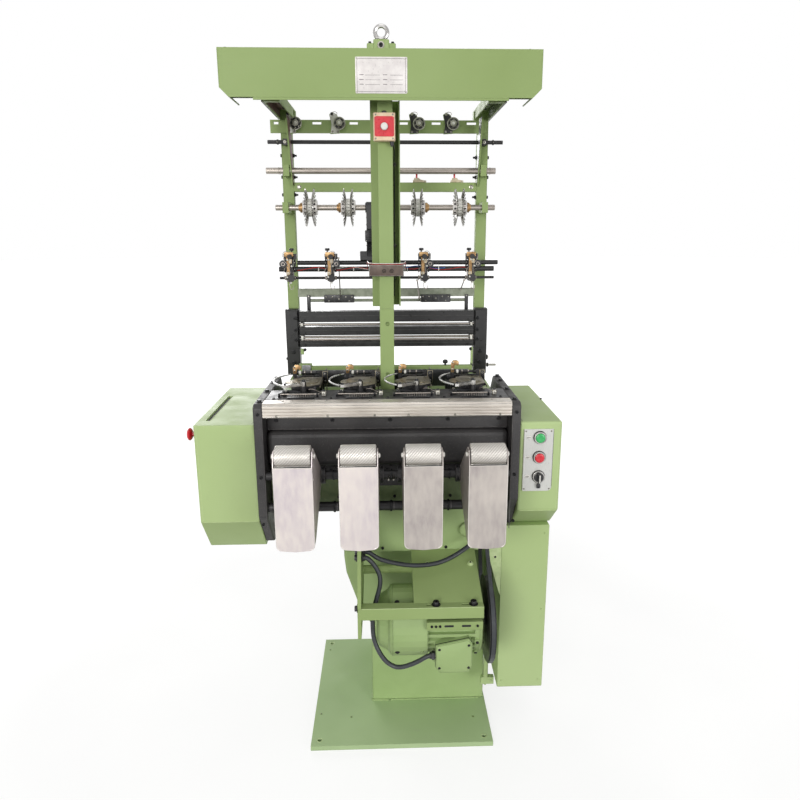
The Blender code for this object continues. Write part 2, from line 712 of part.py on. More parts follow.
def build_top():
    corner = TOP_CORNER
    t = TOP_SHEET
    front = TOP_FRONT
    back = front + TOP_DEEP
    left = TOP_SHIFT - TOP_HALF
    right = TOP_SHIFT + TOP_HALF
    shape = [
        (left, TOP_LOW + corner), (left, TOP_HIGH), (right, TOP_HIGH), (right, TOP_LOW + corner),
        (right - corner, TOP_LOW), (left + corner, TOP_LOW),
    ]
    inner = [
        (left + t, TOP_LOW + corner), (left + t, TOP_HIGH - t), (right - t, TOP_HIGH - t),
        (right - t, TOP_LOW + corner), (right - corner - t, TOP_LOW + t),
        (right - corner - t, TOP_LOW - 0.03), (left + corner + t, TOP_LOW - 0.03),
        (left + corner + t, TOP_LOW + t),
    ]
    lip_left = TOP_SHIFT - TOP_LIP_HALF
    lip_right = TOP_SHIFT + TOP_LIP_HALF
    lip = block(lip_left, lip_right, front, front + t, TOP_LOW - TOP_LIP, TOP_LOW + 0.004)
    open_back = block(
        left - 0.01, right + 0.01, back - t - 0.0005, back + 0.01, TOP_LOW - 0.02, TOP_LOW + TOP_BACK_RISE
    )
    node(
        "top_beam", green, outline("Y", shape, front, back),
        add=[lip], cut=[outline("Y", inner, front + t, back - t), open_back],
    )
    base = TOP_HIGH + SEAT
    x = TOP_SHIFT
    foot = block(x - 0.040, x + 0.040, -0.013, 0.013, base, base + 0.024, 0.003)
    lump = block(x - 0.022, x + 0.022, -0.017, 0.017, base + 0.001, base + 0.033, 0.003)
    ring = bmesh.new()
    circle = bmesh.ops.create_circle(ring, segments=8, radius=EYE_WIRE)["verts"]
    bmesh.ops.translate(ring, verts=circle, vec=(EYE_R, 0, 0))
    bmesh.ops.spin(
        ring, geom=ring.verts[:] + ring.edges[:], cent=(0, 0, 0), axis=(0, 1, 0),
        angle=math.radians(360), steps=26, use_merge=True,
    )
    bmesh.ops.remove_doubles(ring, verts=ring.verts[:], dist=0.00001)
    bmesh.ops.transform(
        ring, matrix=Matrix.Translation((x, 0, base + 0.036 + EYE_R)), verts=ring.verts[:]
    )
    for face in ring.faces:
        face.smooth = True
    node("lifting_eye", chrome, foot, add=[lump, mesh_object("ring", ring)])


def build_uprights():
    for side, name in ((-1, "upright_left"), (1, "upright_right")):
        x0, x1 = sorted((side * UPRIGHT_IN, side * UPRIGHT_OUT))
        front = UPRIGHT_FRONT
        back = front + UPRIGHT_DEEP
        post = block(x0, x1, front, back, BED_TOP + SEAT, UPRIGHT_TOP)
        a0, a1 = sorted((side * UPRIGHT_OUT, side * (UPRIGHT_OUT - TOP_ARM_WIDE)))
        low = UPRIGHT_TOP - TOP_ARM_TALL
        start = TOP_FRONT + TOP_DEEP + SEAT
        wall = TOP_ARM_WALL
        arm = block(a0, a1, start, back, low, UPRIGHT_TOP)
        hollow = block(a0 + wall, a1 - wall, start + 0.02, front - SEAT, low - 0.01, UPRIGHT_TOP - wall)
        edge = UPRIGHT_OUT - TOP_ARM_WIDE
        b0, b1 = sorted((side * (edge - 0.001), side * (edge + wall + 0.001)))
        relief = block(b0, b1, front - 0.038, front - SEAT, low - 0.01, UPRIGHT_TOP - wall - 0.001)
        g0, g1 = sorted((side * UPRIGHT_IN, side * (UPRIGHT_IN + 0.005)))
        notch_z = BED_TOP + TENSION_RISE - 0.004
        notch_y = front - TENSION_THICK - 0.028
        gusset = outline("X", [
            (notch_y, low + 0.002), (notch_y, notch_z), (front + 0.005, notch_z),
            (front + 0.005, low - GUSSET_TALL), (front - 0.012, low - GUSSET_TALL),
            (front - GUSSET_DEEP, low + 0.002),
        ], g0, g1)
        bearings = []
        bores = [rod("X", (ROD_Y, ROD_Z), ROD_R + RUN, x0 - 0.01, x1 + 0.01, 20)]
        wall = BEARING_WALL
        for y, z, r in ((GUIDE_Y, GUIDE_Z, GUIDE_R), (FEED_Y, FEED_Z, FEED_R)):
            edge = r + wall
            bearings.append(block(x0 + 0.008, x1 - 0.008, y - edge, front + 0.005, z - edge, z + edge))
            bores.append(rod("X", (y, z), r + RUN, x0 - 0.01, x1 + 0.01, 24))
        node(name, green, post, add=[arm, gusset, *bearings], cut=[hollow, relief, *bores])


def build_back():
    y1 = UPRIGHT_FRONT - SEAT
    y0 = y1 - TENSION_THICK
    low = BED_TOP + TENSION_RISE
    rail = block(TENSION_LEFT, TENSION_RIGHT, y0, y1, low, low + TENSION_TALL)
    z0 = low + SLOT_RISE
    slots = [block(a, b, y0 - 0.01, y1 + 0.01, z0, z0 + SLOT_TALL) for a, b in RAIL_SLOTS]
    plates = []
    for x in TENSION_X:
        middle = low + 0.029
        plate = [
            (x - 0.020, middle - 0.032), (x + 0.012, middle - 0.030), (x + 0.016, middle),
            (x + 0.004, middle + 0.030), (x - 0.012, middle + 0.038), (x - 0.022, middle + 0.030),
            (x - 0.016, middle),
        ]
        plates.append(outline("Y", plate, y0 - 0.004, y0 + 0.001))
        plates.append(turned("Y", (x + 0.012, middle), y0, [
            (-0.026, 0.0), (-0.026, 0.007), (-0.019, 0.008), (-0.018, TENSION_DISC_R),
            (-0.013, TENSION_DISC_R), (-0.010, 0.014), (-0.003, 0.013), (-0.003, 0.0),
        ], 14))
    node("tension_rail", green, rail, add=plates, cut=slots)
    inner = UPRIGHT_IN - SEAT
    low = BED_TOP + CROSS_RISE
    bar = block(-inner, inner, UPRIGHT_FRONT, UPRIGHT_FRONT + 0.030, low, low + CROSS_TALL)
    node("crossbar", green, bar)
    clamps = []
    for side in (-1, 1):
        x = side * (UPRIGHT_IN + UPRIGHT_WIDE / 2)
        y = UPRIGHT_FRONT - SEAT
        clamps.append(block(x - 0.008, x + 0.008, ROD_Y - 0.009, y, ROD_Z - 0.010, ROD_Z + 0.010))
    bar = rod("X", (ROD_Y, ROD_Z), ROD_R, -UPRIGHT_OUT - 0.042, UPRIGHT_OUT + 0.047)
    node("warp_rod", black_steel, bar, add=clamps)
    roller = rod("X", (GUIDE_Y, GUIDE_Z), GUIDE_R, -UPRIGHT_OUT - 0.052, UPRIGHT_OUT + 0.025, 24)
    node("guide_roller", chrome, roller, origin=(0, GUIDE_Y, GUIDE_Z))
    centre = (FEED_Y, FEED_Z)
    shaft = rod("X", centre, FEED_R, -UPRIGHT_OUT - 0.017, UPRIGHT_OUT + 0.017, 24)
    wheels = []
    half = WHEEL_HALF
    rim = WHEEL_RIM
    for x in WHEEL_X:
        wheels.append(turned("X", centre, x, [
            (-half - 0.008, 0.0), (-half - 0.008, HUB_R), (-half, HUB_R), (-half, WHEEL_R),
            (-half + rim, WHEEL_R), (-half + rim + 0.003, HUB_R + 0.006),
            (half - rim - 0.003, HUB_R + 0.006), (half - rim, WHEEL_R),
            (half, WHEEL_R), (half, HUB_R), (half + 0.008, HUB_R), (half + 0.008, 0.0),
        ], 26))
    node("feeder_shaft", chrome, shaft, add=wheels, origin=(0, FEED_Y, FEED_Z))
    x0 = DRIVE_X - DRIVE_WIDE / 2
    x1 = DRIVE_X + DRIVE_WIDE / 2
    low = RACK_Z + RACK_R + SEAT
    fall = FEED_Z - low
    lug = [
        (RACK_Y - 0.012, low), (FEED_Y + 0.016, low), (FEED_Y + 0.016, FEED_Z),
        *arc(FEED_Y, FEED_Z, 0.019, 20, 160, 7), (FEED_Y - 0.018, FEED_Z - 0.404 * fall),
        (FEED_Y - 0.030, FEED_Z - 0.433 * fall), (FEED_Y - 0.030, FEED_Z - 0.647 * fall),
        (FEED_Y - 0.016, FEED_Z - 0.681 * fall), (RACK_Y + 0.020, low + 0.231 * fall),
        (RACK_Y - 0.012, low + 0.069 * fall),
    ]
    foot = block(x0 - 0.022, x0 + 0.002, RACK_Y - 0.010, RACK_Y + 0.010, low, low + 0.030, 0.002)
    bore = rod("X", centre, FEED_R + RUN, x0 - 0.03, x1 + 0.03, 24)
    node("feed_drive", black_plastic, outline("X", lug, x0, x1), add=[foot], cut=[bore])


def build_rack():
    far = BED_HALF
    bar = rod("X", (RACK_Y, RACK_Z), RACK_R, 0.0424 - far, far + 0.0366, 16)
    low = RACK_Z - RACK_LOW_DROP
    thin = RACK_Z - RACK_THIN_DROP
    parts = [
        rod("X", (RACK_Y, low), RACK_LOW_R, -far - 0.0196, far + 0.0236, 18),
        rod("X", (RACK_Y, thin), RACK_THIN_R, -far - 0.0186, far + 0.0246, 12),
    ]
    front = RACK_Y - 0.018
    for x in STATION_X:
        x0 = x - STATION_HALF
        x1 = x + STATION_HALF
        parts.append(block(x0, x1, front, RACK_Y + 0.0121, thin - 0.010, RACK_Z + 0.016))
        base = RACK_Z + 0.011
        parts.append(block(x0 - 0.008, x1 + 0.012, front + 0.006, RACK_Y + 0.005, base, base + 0.019))
        parts.append(rod("Y", (x + 0.002, RACK_Z + 0.0207), 0.0085, front - 0.008, RACK_Y - 0.0013, 10))
        parts.append(rod("Y", (x + 0.002, thin), 0.0132, front - 0.009, RACK_Y - 0.0107, 12))
    y1 = COLUMN_FRONT - SEAT
    middle = (RACK_Z + low) / 2
    z0 = middle - CLAMP_TALL / 2
    z1 = middle + CLAMP_TALL / 2
    half = CLAMP_HALF
    parts.append(block(-half, half, y1 - CLAMP_THICK, y1, z0, z1, 0.002))
    inner = CHANNEL_HALF + SEAT
    for a, b in ((-half + 0.0015, -inner), (inner, half - 0.0015)):
        parts.append(block(a, b, y1 - CLAMP_THICK + 0.004, RACK_Y + 0.0035, z0 + 0.0035, z1 - 0.0035))
    node("detector_rack", black_steel, bar, add=parts)
    inner = UPRIGHT_IN - SEAT
    low = BED_TOP + LEASE_RISE
    front = UPRIGHT_FRONT
    bar = block(-inner, inner, front, front + 0.012, low, low + LEASE_TALL)
    z = low - LEASE_DROP
    links = (LEASE_LINK_LEFT - inner, inner - LEASE_LINK_RIGHT)
    parts = [rod("X", (front + 0.003, z), LEASE_ROD_R, links[0] + 0.002, links[1] - 0.002, 12)]
    for x in LEASE_BLOCK_X:
        y = front - 0.014
        parts.append(block(x - 0.053, x + 0.053, y, y + 0.022, z - 0.006, low + 0.008, 0.002))
    foot = BED_TOP + POST_RISE - 0.020
    for x in links:
        parts.append(block(x - 0.006, x + 0.006, front - 0.003, front + 0.009, foot, low + 0.008))
    node("lease_bars", alloy, bar, add=parts)


def build_harness():
    inner = POST_IN - SEAT
    y0 = POST_FRONT
    y1 = y0 + POST_DEEP
    for side, name in ((-1, "harness_post_left"), (1, "harness_post_right")):
        x0, x1 = sorted((side * POST_IN, side * (POST_IN + POST_WIDE)))
        post = block(x0, x1, y0, y1, BED_TOP + SEAT, BED_TOP + POST_RISE, 0.003)
        low = BED_TOP + BEAM_RISES[-1][0] - 0.004
        high = BED_TOP + POST_RISE - 0.005
        bracket = block(x0 + 0.0045, x1 - 0.0045, y0 - BEAM_FORWARD, y0 + 0.012, low, high)
        node(name, black, post, add=[bracket])
    bars = []
    for rise, tall in BEAM_RISES:
        z = BED_TOP + rise
        bars.append(block(-inner, inner, y0 - BEAM_FORWARD, y1, z, z + tall, 0.003, 1))
    for rise in STRIP_RISES:
        bars.append(rod("X", (y0, BED_TOP + rise), STRIP_R, -inner, inner, 8))
    low = BED_TOP + BEAM_RISES[-1][0] + 0.007
    high = BED_TOP + BEAM_RISES[0][0] + 0.009
    for side in (-1, 1):
        a, b = sorted((side * (inner - 0.006), side * (inner - 0.016)))
        bars.append(block(a, b, y0 - 0.0055, y1 - 0.004, low, high))
    node("harness_beams", black, bars[0], add=bars[1:])
    low = BED_TOP + BACK_RAIL_RISE
    high = low + BACK_RAIL_TALL
    left = BACK_RAIL_LEFT
    right = BACK_RAIL_RIGHT
    rail = block(left, right, 0.168, 0.192, low, high, 0.002)
    feet = [
        block(x - 0.010, x + 0.010, 0.172, 0.190, BED_TOP + SEAT, low + 0.004)
        for x in (left + 0.022, right - 0.022)
    ]
    block_end = block(left - 0.002, left + 0.040, 0.164, 0.194, low - 0.006, high + 0.008, 0.002)
    node("back_rail", green_cast, rail, add=[*feet, block_end])


def build_buttons():
    y1 = COLUMN_FRONT - SEAT
    y0 = y1 - STOP_DEPTH
    r = STOP_BUTTON_R
    case = block(STOP_X - STOP_HALF, STOP_X + STOP_HALF, y0, y1, STOP_Z - 0.038, STOP_Z + 0.038, 0.003)
    well = rod("Y", (STOP_X, STOP_Z), r + RUN, y0 - 0.01, y0 + 0.016, 24)
    node("stop_box", cream, case, cut=[well])
    button = rod("Y", (STOP_X, STOP_Z), r, y0 - 0.010, y0 + 0.006, 24)
    node("stop_button_top", red, button, origin=(STOP_X, y0, STOP_Z))
    x0 = -FRAME_OUT - SEAT - COVER_L_WIDE - SEAT
    centre = (SIDE_STOP_Y, BED_TOP - SIDE_STOP_DROP)
    collar = rod("X", centre, 0.014, x0 - 0.010, x0, 24)
    hole = rod("X", centre, 0.006 + RUN, x0 - 0.02, x0 - 0.002, 20)
    node("stop_collar_side", black_plastic, collar, cut=[hole])
    head = turned("X", centre, x0, [
        (-0.029, 0.0), (-0.029, SIDE_STOP_R - 0.005), (-0.026, SIDE_STOP_R - 0.001),
        (-0.023, SIDE_STOP_R), (-0.019, SIDE_STOP_R - 0.003), (-0.016, 0.010), (-0.016, 0.006),
        (-0.008, 0.006), (-0.008, 0.0),
    ], 28)
    node("stop_button_side", red, head, origin=(x0 - 0.016, *centre))
    y1 = COVER_FRONT - SEAT
    y0 = y1 - SWITCH_THICK
    low = BED_TOP - SWITCH_RISE
    high = low + SWITCH_TALL
    left = SWITCH_X - SWITCH_HALF
    right = SWITCH_X + SWITCH_HALF
    corner = arc(right - 0.012, low + 0.012, 0.012, 270, 360, 5)
    face = [(left, high), (left, low + 0.003), (left + 0.003, low), *corner, (right, high)]
    rings = []
    holes = []
    for rise in BUTTON_RISES:
        z = low + rise
        rings.append(rod("Y", (SWITCH_X + 0.003, z), BEZEL_R, y0 - 0.006, y0 + 0.001, 24))
        holes.append(rod("Y", (SWITCH_X + 0.003, z), BUTTON_R + RUN, y0 - 0.02, y0 + 0.001, 24))
    node("switch_plate", plate_grey, outline("Y", face, y0, y1), add=rings, cut=holes)
    x = SWITCH_X + 0.003
    caps = (("start_button", BUTTON_RISES[0], lamp_green), ("halt_button", BUTTON_RISES[1], red))
    for name, rise, paint in caps:
        z = low + rise
        cap = rod("Y", (x, z), BUTTON_R, y0 - 0.010, y0 - 0.0035, 24)
        node(name, paint, cap, origin=(x, y0 - 0.006, z))
    z = low + BUTTON_RISES[2]
    grip = rod("Y", (x, z), BUTTON_R, y0 - 0.012, y0 + 0.001 - RUN, 24)
    bar = block(x - 0.004, x + 0.004, y0 - 0.023, y0 - 0.010, z - 0.0125, z + 0.0125, 0.0015)
    node("selector_knob", black_plastic, grip, add=[bar], origin=(x, y0 - 0.006, z))


def build_motor():
    c = (MOTOR_Y, MOTOR_Z)
    fins = []
    for i in range(FIN_COUNT):
        a = 2 * math.pi * i / FIN_COUNT
        crest = MOTOR_R + FIN_TALL
        for step, radius in ((-0.30, MOTOR_R), (-0.20, crest), (0.20, crest), (0.30, MOTOR_R)):
            b = a + step * 2 * math.pi / FIN_COUNT
            fins.append((MOTOR_Y + radius * math.cos(b), MOTOR_Z + radius * math.sin(b)))
    left = MOTOR_LEFT
    right = MOTOR_RIGHT
    body = outline("X", fins, left + 0.13, right - 0.016)
    cowl = turned("X", c, left, [
        (0.0, 0.0), (0.0, 0.062), (0.006, 0.072), (0.030, 0.086), (0.036, 0.096), (0.042, FAN_R),
        (0.140, FAN_R), (0.140, 0.0),
    ], 30)
    flange = turned("X", c, right, [
        (-0.030, 0.0), (-0.030, 0.090), (-0.012, 0.096), (-0.008, 0.092), (0.0, 0.060), (0.0, 0.0),
    ], 30)
    top = MOTOR_Z + FAN_R
    box = [
        (right - 0.142, MOTOR_Z - 0.088), (right - 0.130, MOTOR_Z - 0.102), (right - 0.052, MOTOR_Z - 0.102),
        (right - 0.040, MOTOR_Z - 0.088), (right - 0.040, MOTOR_Z - 0.014), (right - 0.050, MOTOR_Z + 0.002),
        (right - 0.142, MOTOR_Z - 0.018),
    ]
    terminal = outline("Y", box, MOTOR_Y - 0.112, MOTOR_Y - 0.040)
    feet = block(right - 0.154, right - 0.040, MOTOR_Y - 0.078, MOTOR_Y + 0.078, top - 0.040, top, 0.003)
    nose = rod("X", c, SHAFT_R, right - 0.01, right + 0.002, 20)
    node("motor", green_cast, body, add=[cowl, flange, terminal, feet, nose])
    x0 = PULLEY_X0
    wide = PULLEY_WIDE
    rim = (wide - BELT_WIDE) / 2

    def pulley(name, y, z, radius, hub_start):
        groove = radius - BELT_SUNK
        profile = [
            (hub_start, 0.0), (hub_start, 0.022), (0.0, 0.022), (0.0, radius), (rim * 0.6, radius),
            (rim, groove), (wide - rim, groove), (wide - rim * 0.6, radius), (wide, radius),
            (wide, 0.020), (wide + 0.003, 0.020), (wide + 0.003, 0.0),
        ]
        disc = turned("X", (y, z), x0, profile, 32)
        node(name, black_steel, disc, origin=(x0, y, z))

    pulley("motor_pulley", MOTOR_Y, MOTOR_Z, PULLEY_R, MOTOR_RIGHT + 0.002 + RUN - x0)
    pulley("main_pulley", MAIN_Y, MAIN_Z, MAIN_R, BED_LOWER_RIGHT + SEAT - x0)
    build_belt(x0 + wide / 2)
    build_cradle(top)


def build_belt(x):
    """A flat loop laid over both rims, with its straight runs on the outer tangents."""
    away = math.hypot(MAIN_Y - MOTOR_Y, MAIN_Z - MOTOR_Z)
    heading = math.degrees(math.atan2(MAIN_Z - MOTOR_Z, MAIN_Y - MOTOR_Y))
    lean = math.degrees(math.acos((PULLEY_R - MAIN_R) / away))

    def loop(extra, count):
        large = arc(MOTOR_Y, MOTOR_Z, PULLEY_R + extra, heading + lean, heading + 360 - lean, count)
        small = arc(MAIN_Y, MAIN_Z, MAIN_R + extra, heading - lean, heading + lean, count)
        return [*large, *small]

    half = BELT_WIDE / 2 - 0.0004
    inner = BELT_PLAY - BELT_SUNK
    ring = outline("X", loop(inner + BELT_THICK, 25), x - half, x + half)
    hole = outline("X", loop(inner, 25), x - half - 0.01, x + half + 0.01)
    node("drive_belt", rubber, ring, cut=[hole])


def build_cradle(top):
    """Front angle rail, sloped motor plate and the sheet at the left that carries them."""
    x0 = CRADLE_X
    x1 = x0 + CRADLE_SHEET
    far = MOTOR_RIGHT - 0.012
    near = MOTOR_RIGHT - 0.202
    front = SHELF_FRONT
    under = top + SEAT
    high = under + 0.008
    angle = outline("X", [
        (front, high - SHELF_TALL), (front + 0.006, high - SHELF_TALL), (front + 0.006, high - 0.006),
        (front + SHELF_DEEP, high - 0.006), (front + SHELF_DEEP, high), (front, high),
    ], x1 - 0.001, far)
    slope = outline("X", [
        (front + SHELF_DEEP - 0.004, under), (front + SHELF_DEEP - 0.004, under + 0.008),
        (BED_LOWER_FRONT - SEAT, BED_LOW + 0.004), (BED_LOWER_FRONT - SEAT, BED_LOW - 0.012),
        (MOTOR_Y + 0.085, under),
    ], near, far)
    back = BED_LOWER_FRONT - SEAT
    sheet = outline("X", [
        (front, MOTOR_Z + 0.018), (front, high + 0.004), (-0.335, BED_LOW + 0.110),
        (back, BED_LOW + 0.110), (back, MOTOR_Z + 0.07), (-0.30, MOTOR_Z + 0.018),
    ], x0, x1)
    spacer = rod("X", (-0.215, BED_LOW - 0.045), 0.0125, x1 - 0.001, near + 0.004, 18)
    slots = [
        block(x, x + 0.035, front + 0.012, front + 0.020, high - 0.02, high + 0.02)
        for x in (near + 0.034, near + 0.130)
    ]
    ledge = block(near + 0.002, near + 0.014, -0.230, -0.200, BED_LOW - 0.062, BED_LOW - 0.018)
    node("motor_cradle", green, angle, add=[slope, sheet, spacer, ledge], cut=slots)


def build_hoses():
    """Two conduits held at both ends: terminal box to side sheet, and side sheet to the bed."""
    right = MOTOR_RIGHT
    face = CRADLE_X + CRADLE_SHEET - right
    y = HOSE_Y
    gate = BED_LOW + 0.052
    start = -0.142 - SEAT
    z = MOTOR_Z
    lead = [
        (start, -0.394, z - 0.052), (-0.162, -0.394, z - 0.052), (-0.195, -0.388, z - 0.078),
        (-0.238, -0.376, z - 0.102), (-0.263, -0.368, z - 0.102), (-0.290, -0.360, z - 0.082),
        (-0.314, -0.347, z - 0.036), (-0.318, -0.342, z + 0.010), (-0.316, -0.340, z + 0.055),
        (-0.304, -0.338, z + 0.100), (-0.294, -0.335, z + 0.135), (-0.295, y, z + 0.165),
        (-0.310, y, z + 0.195), (-0.330, y, gate), (face + SEAT, y, gate),
    ]
    route = smoothed([(right + x, y, z) for x, y, z in lead])
    node("motor_hose", rubber, wire(route, HOSE_R, 1))
    y = HOSE_Y + 0.030
    end = BED_LOWER_FRONT - SEAT
    sag = [
        (face + SEAT, y, gate + 0.002), (-0.326, y, gate + 0.002), (-0.298, y, gate - 0.022),
        (-0.239, y, gate - 0.038), (-0.192, y, gate - 0.044), (-0.136, y + 0.004, gate - 0.042),
        (-0.088, y + 0.020, gate - 0.030), (-0.043, end - 0.070, gate - 0.010),
        (-0.010, end - 0.038, gate + 0.003), (-0.010, end, gate + 0.003),
    ]
    route = smoothed([(right + x, y, z) for x, y, z in sag])
    node("supply_hose", rubber, wire(route, HOSE_R, 1))


def smoothed(points):
    """The same route with its corners cut once, ends kept."""
    route = [Vector(p) for p in points]
    cut = [route[0]]
    for one, two in zip(route, route[1:]):
        cut.append(one.lerp(two, 0.25))
        cut.append(one.lerp(two, 0.75))
    cut.append(route[-1])
    return cut


build_base()
build_bed()
build_sides()
build_front()
build_takedown()
build_column()
build_top()
build_uprights()
build_back()
build_rack()
build_harness()
build_buttons()
build_motor()
build_hoses()
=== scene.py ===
import math
import random

import bmesh
import bpy
from mathutils import Matrix, Vector


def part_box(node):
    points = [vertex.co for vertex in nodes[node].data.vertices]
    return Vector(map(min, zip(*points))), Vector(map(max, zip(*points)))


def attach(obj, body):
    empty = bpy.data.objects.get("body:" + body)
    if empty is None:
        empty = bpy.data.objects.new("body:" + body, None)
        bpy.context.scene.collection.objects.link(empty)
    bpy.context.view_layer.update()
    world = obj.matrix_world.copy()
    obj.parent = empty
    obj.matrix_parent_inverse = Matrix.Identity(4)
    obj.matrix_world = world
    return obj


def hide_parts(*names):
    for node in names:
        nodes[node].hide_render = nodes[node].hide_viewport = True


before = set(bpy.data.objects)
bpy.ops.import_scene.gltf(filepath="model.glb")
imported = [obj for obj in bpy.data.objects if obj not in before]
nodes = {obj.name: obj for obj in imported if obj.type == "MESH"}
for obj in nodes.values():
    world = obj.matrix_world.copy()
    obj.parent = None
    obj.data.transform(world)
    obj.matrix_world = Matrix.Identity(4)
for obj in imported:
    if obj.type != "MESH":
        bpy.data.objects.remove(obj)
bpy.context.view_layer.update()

random.seed(4)
print("frame loaded:", len(nodes), "nodes")


# Colours are written as the eye sees them, from 0 to 255, and turned into Blender's linear values
def tone(r, g, b):
    def part(c):
        c = c / 255
        return c / 12.92 if c <= 0.04045 else ((c + 0.055) / 1.055) ** 2.4
    return (part(r), part(g), part(b), 1.0)


# Finishes
def newFinish(name, colour, metallic=0.0, roughness=0.5, coat=0.0, specular=0.5):
    made = bpy.data.materials.new(name)
    made.use_nodes = True
    shader = made.node_tree.nodes["Principled BSDF"]
    shader.inputs["Base Color"].default_value = colour
    shader.inputs["Metallic"].default_value = metallic
    shader.inputs["Roughness"].default_value = roughness
    shader.inputs["Coat Weight"].default_value = coat
    shader.inputs["Coat Roughness"].default_value = 0.2
    shader.inputs["Specular IOR Level"].default_value = specular
    return made, made.node_tree, shader


def grain(tree, scale, detail=3.0, stretch=(1, 1, 1), roughness=0.5):
    spot = tree.nodes.new("ShaderNodeTexCoord")
    sizing = tree.nodes.new("ShaderNodeMapping")
    sizing.inputs["Scale"].default_value = stretch
    noise = tree.nodes.new("ShaderNodeTexNoise")
    noise.inputs["Scale"].default_value = scale
    noise.inputs["Detail"].default_value = detail
    noise.inputs["Roughness"].default_value = roughness
    tree.links.new(spot.outputs["Object"], sizing.inputs["Vector"])
    tree.links.new(sizing.outputs["Vector"], noise.inputs["Vector"])
    return noise.outputs["Fac"]


def span(tree, value, low, high, toLow=0.0, toHigh=1.0):
    node = tree.nodes.new("ShaderNodeMapRange")
    node.inputs["From Min"].default_value = low
    node.inputs["From Max"].default_value = high
    node.inputs["To Min"].default_value = toLow
    node.inputs["To Max"].default_value = toHigh
    tree.links.new(value, node.inputs["Value"])
    return node.outputs["Result"]


def blendTone(tree, share, one, two):
    node = tree.nodes.new("ShaderNodeMix")
    node.data_type = "RGBA"
    tree.links.new(share, node.inputs["Factor"])
    for socket, colour in ((node.inputs["A"], one), (node.inputs["B"], two)):
        if isinstance(colour, tuple):
            socket.default_value = colour
        else:
            tree.links.new(colour, socket)
    return node.outputs["Result"]


def times(tree, one, two, how="MULTIPLY"):
    node = tree.nodes.new("ShaderNodeMath")
    node.operation = how
    node.use_clamp = True
    for number, value in enumerate((one, two)):
        if isinstance(value, (int, float)):
            node.inputs[number].default_value = value
        else:
            tree.links.new(value, node.inputs[number])
    return node.outputs["Value"]


def bumpOn(tree, height, strength, distance, below=None):
    node = tree.nodes.new("ShaderNodeBump")
    node.inputs["Strength"].default_value = strength
    node.inputs["Distance"].default_value = distance
    tree.links.new(height, node.inputs["Height"])
    if below is not None:
        tree.links.new(below, node.inputs["Normal"])
    return node.outputs["Normal"]


def softEdge(tree, radius):
    node = tree.nodes.new("ShaderNodeBevel")
    node.samples = 4
    node.inputs["Radius"].default_value = radius
    return node.outputs["Normal"]


def edgeShare(tree, edge, low=0.02, high=0.16):
    plain = tree.nodes.new("ShaderNodeNewGeometry")
    dot = tree.nodes.new("ShaderNodeVectorMath")
    dot.operation = "DOT_PRODUCT"
    tree.links.new(plain.outputs["Normal"], dot.inputs[0])
    tree.links.new(edge, dot.inputs[1])
    return span(tree, dot.outputs["Value"], 1.0 - low, 1.0 - high)


def feed(tree, shader, colour, rough, normal):
    tree.links.new(colour, shader.inputs["Base Color"])
    tree.links.new(rough, shader.inputs["Roughness"])
    tree.links.new(normal, shader.inputs["Normal"])


# Noise between two thresholds, as a share from 0 to 1 or between two other values
def patches(tree, scale, detail, low, high, *reach):
    return span(tree, grain(tree, scale, detail), low, high, *reach)


# Sprayed enamel: orange peel, cloudy tone, rubbed edges and a little dust in patches
def enamel(name, look):
    made, tree, shader = newFinish(name, tone(*look["colour"]), 0.0, look["rough"], look.get("coat", 0.15),
                                   0.12)
    cloud = patches(tree, 2.2, 4, 0.3, 0.7)
    colour = blendTone(tree, cloud, tone(*look["deep"]), tone(*look["colour"]))
    smudge = span(tree, grain(tree, 26, 6, roughness=0.7), 0.6, 0.82)
    colour = blendTone(tree, times(tree, smudge, look["smudge"]), colour, tone(*look["dust"]))
    edge = softEdge(tree, look["edge"])
    rub = times(tree, edgeShare(tree, edge), patches(tree, 90, 5, 0.35, 0.6))
    colour = blendTone(tree, times(tree, rub, look["wear"]), colour, tone(*look["bare"]))
    rough = patches(tree, 14, 5, 0.3, 0.7, look["rough"] - 0.08, look["rough"] + 0.12)
    low = bumpOn(tree, grain(tree, 10, 2), 0.06, 0.004, edge)
    feed(tree, shader, colour, rough, bumpOn(tree, grain(tree, 420, 2), look["peel"], 0.0004, low))
    return made


# Sand casting: coarse skin, pits and darker patches
def casting(name, look):
    made, tree, shader = newFinish(name, tone(*look["colour"]), look.get("metallic", 0.0), look["rough"],
                                   look.get("coat", 0.0))
    cloud = patches(tree, 5, 5, 0.3, 0.7)
    colour = blendTone(tree, cloud, tone(*look["deep"]), tone(*look["colour"]))
    speck = patches(tree, 380, 3, 0.6, 0.72)
    colour = blendTone(tree, times(tree, speck, look["speck"]), colour, tone(*look["light"]))
    edge = softEdge(tree, look["edge"])
    rub = times(tree, edgeShare(tree, edge), patches(tree, 120, 5, 0.4, 0.6))
    colour = blendTone(tree, times(tree, rub, look["wear"]), colour, tone(*look["light"]))
    rough = patches(tree, 40, 4, 0.3, 0.7, look["rough"] - 0.1, look["rough"] + 0.1)
    low = bumpOn(tree, grain(tree, 45, 6), look["lump"], 0.003, edge)
    feed(tree, shader, colour, rough, bumpOn(tree, grain(tree, 520, 4), look["sand"], 0.0008, low))
    return made


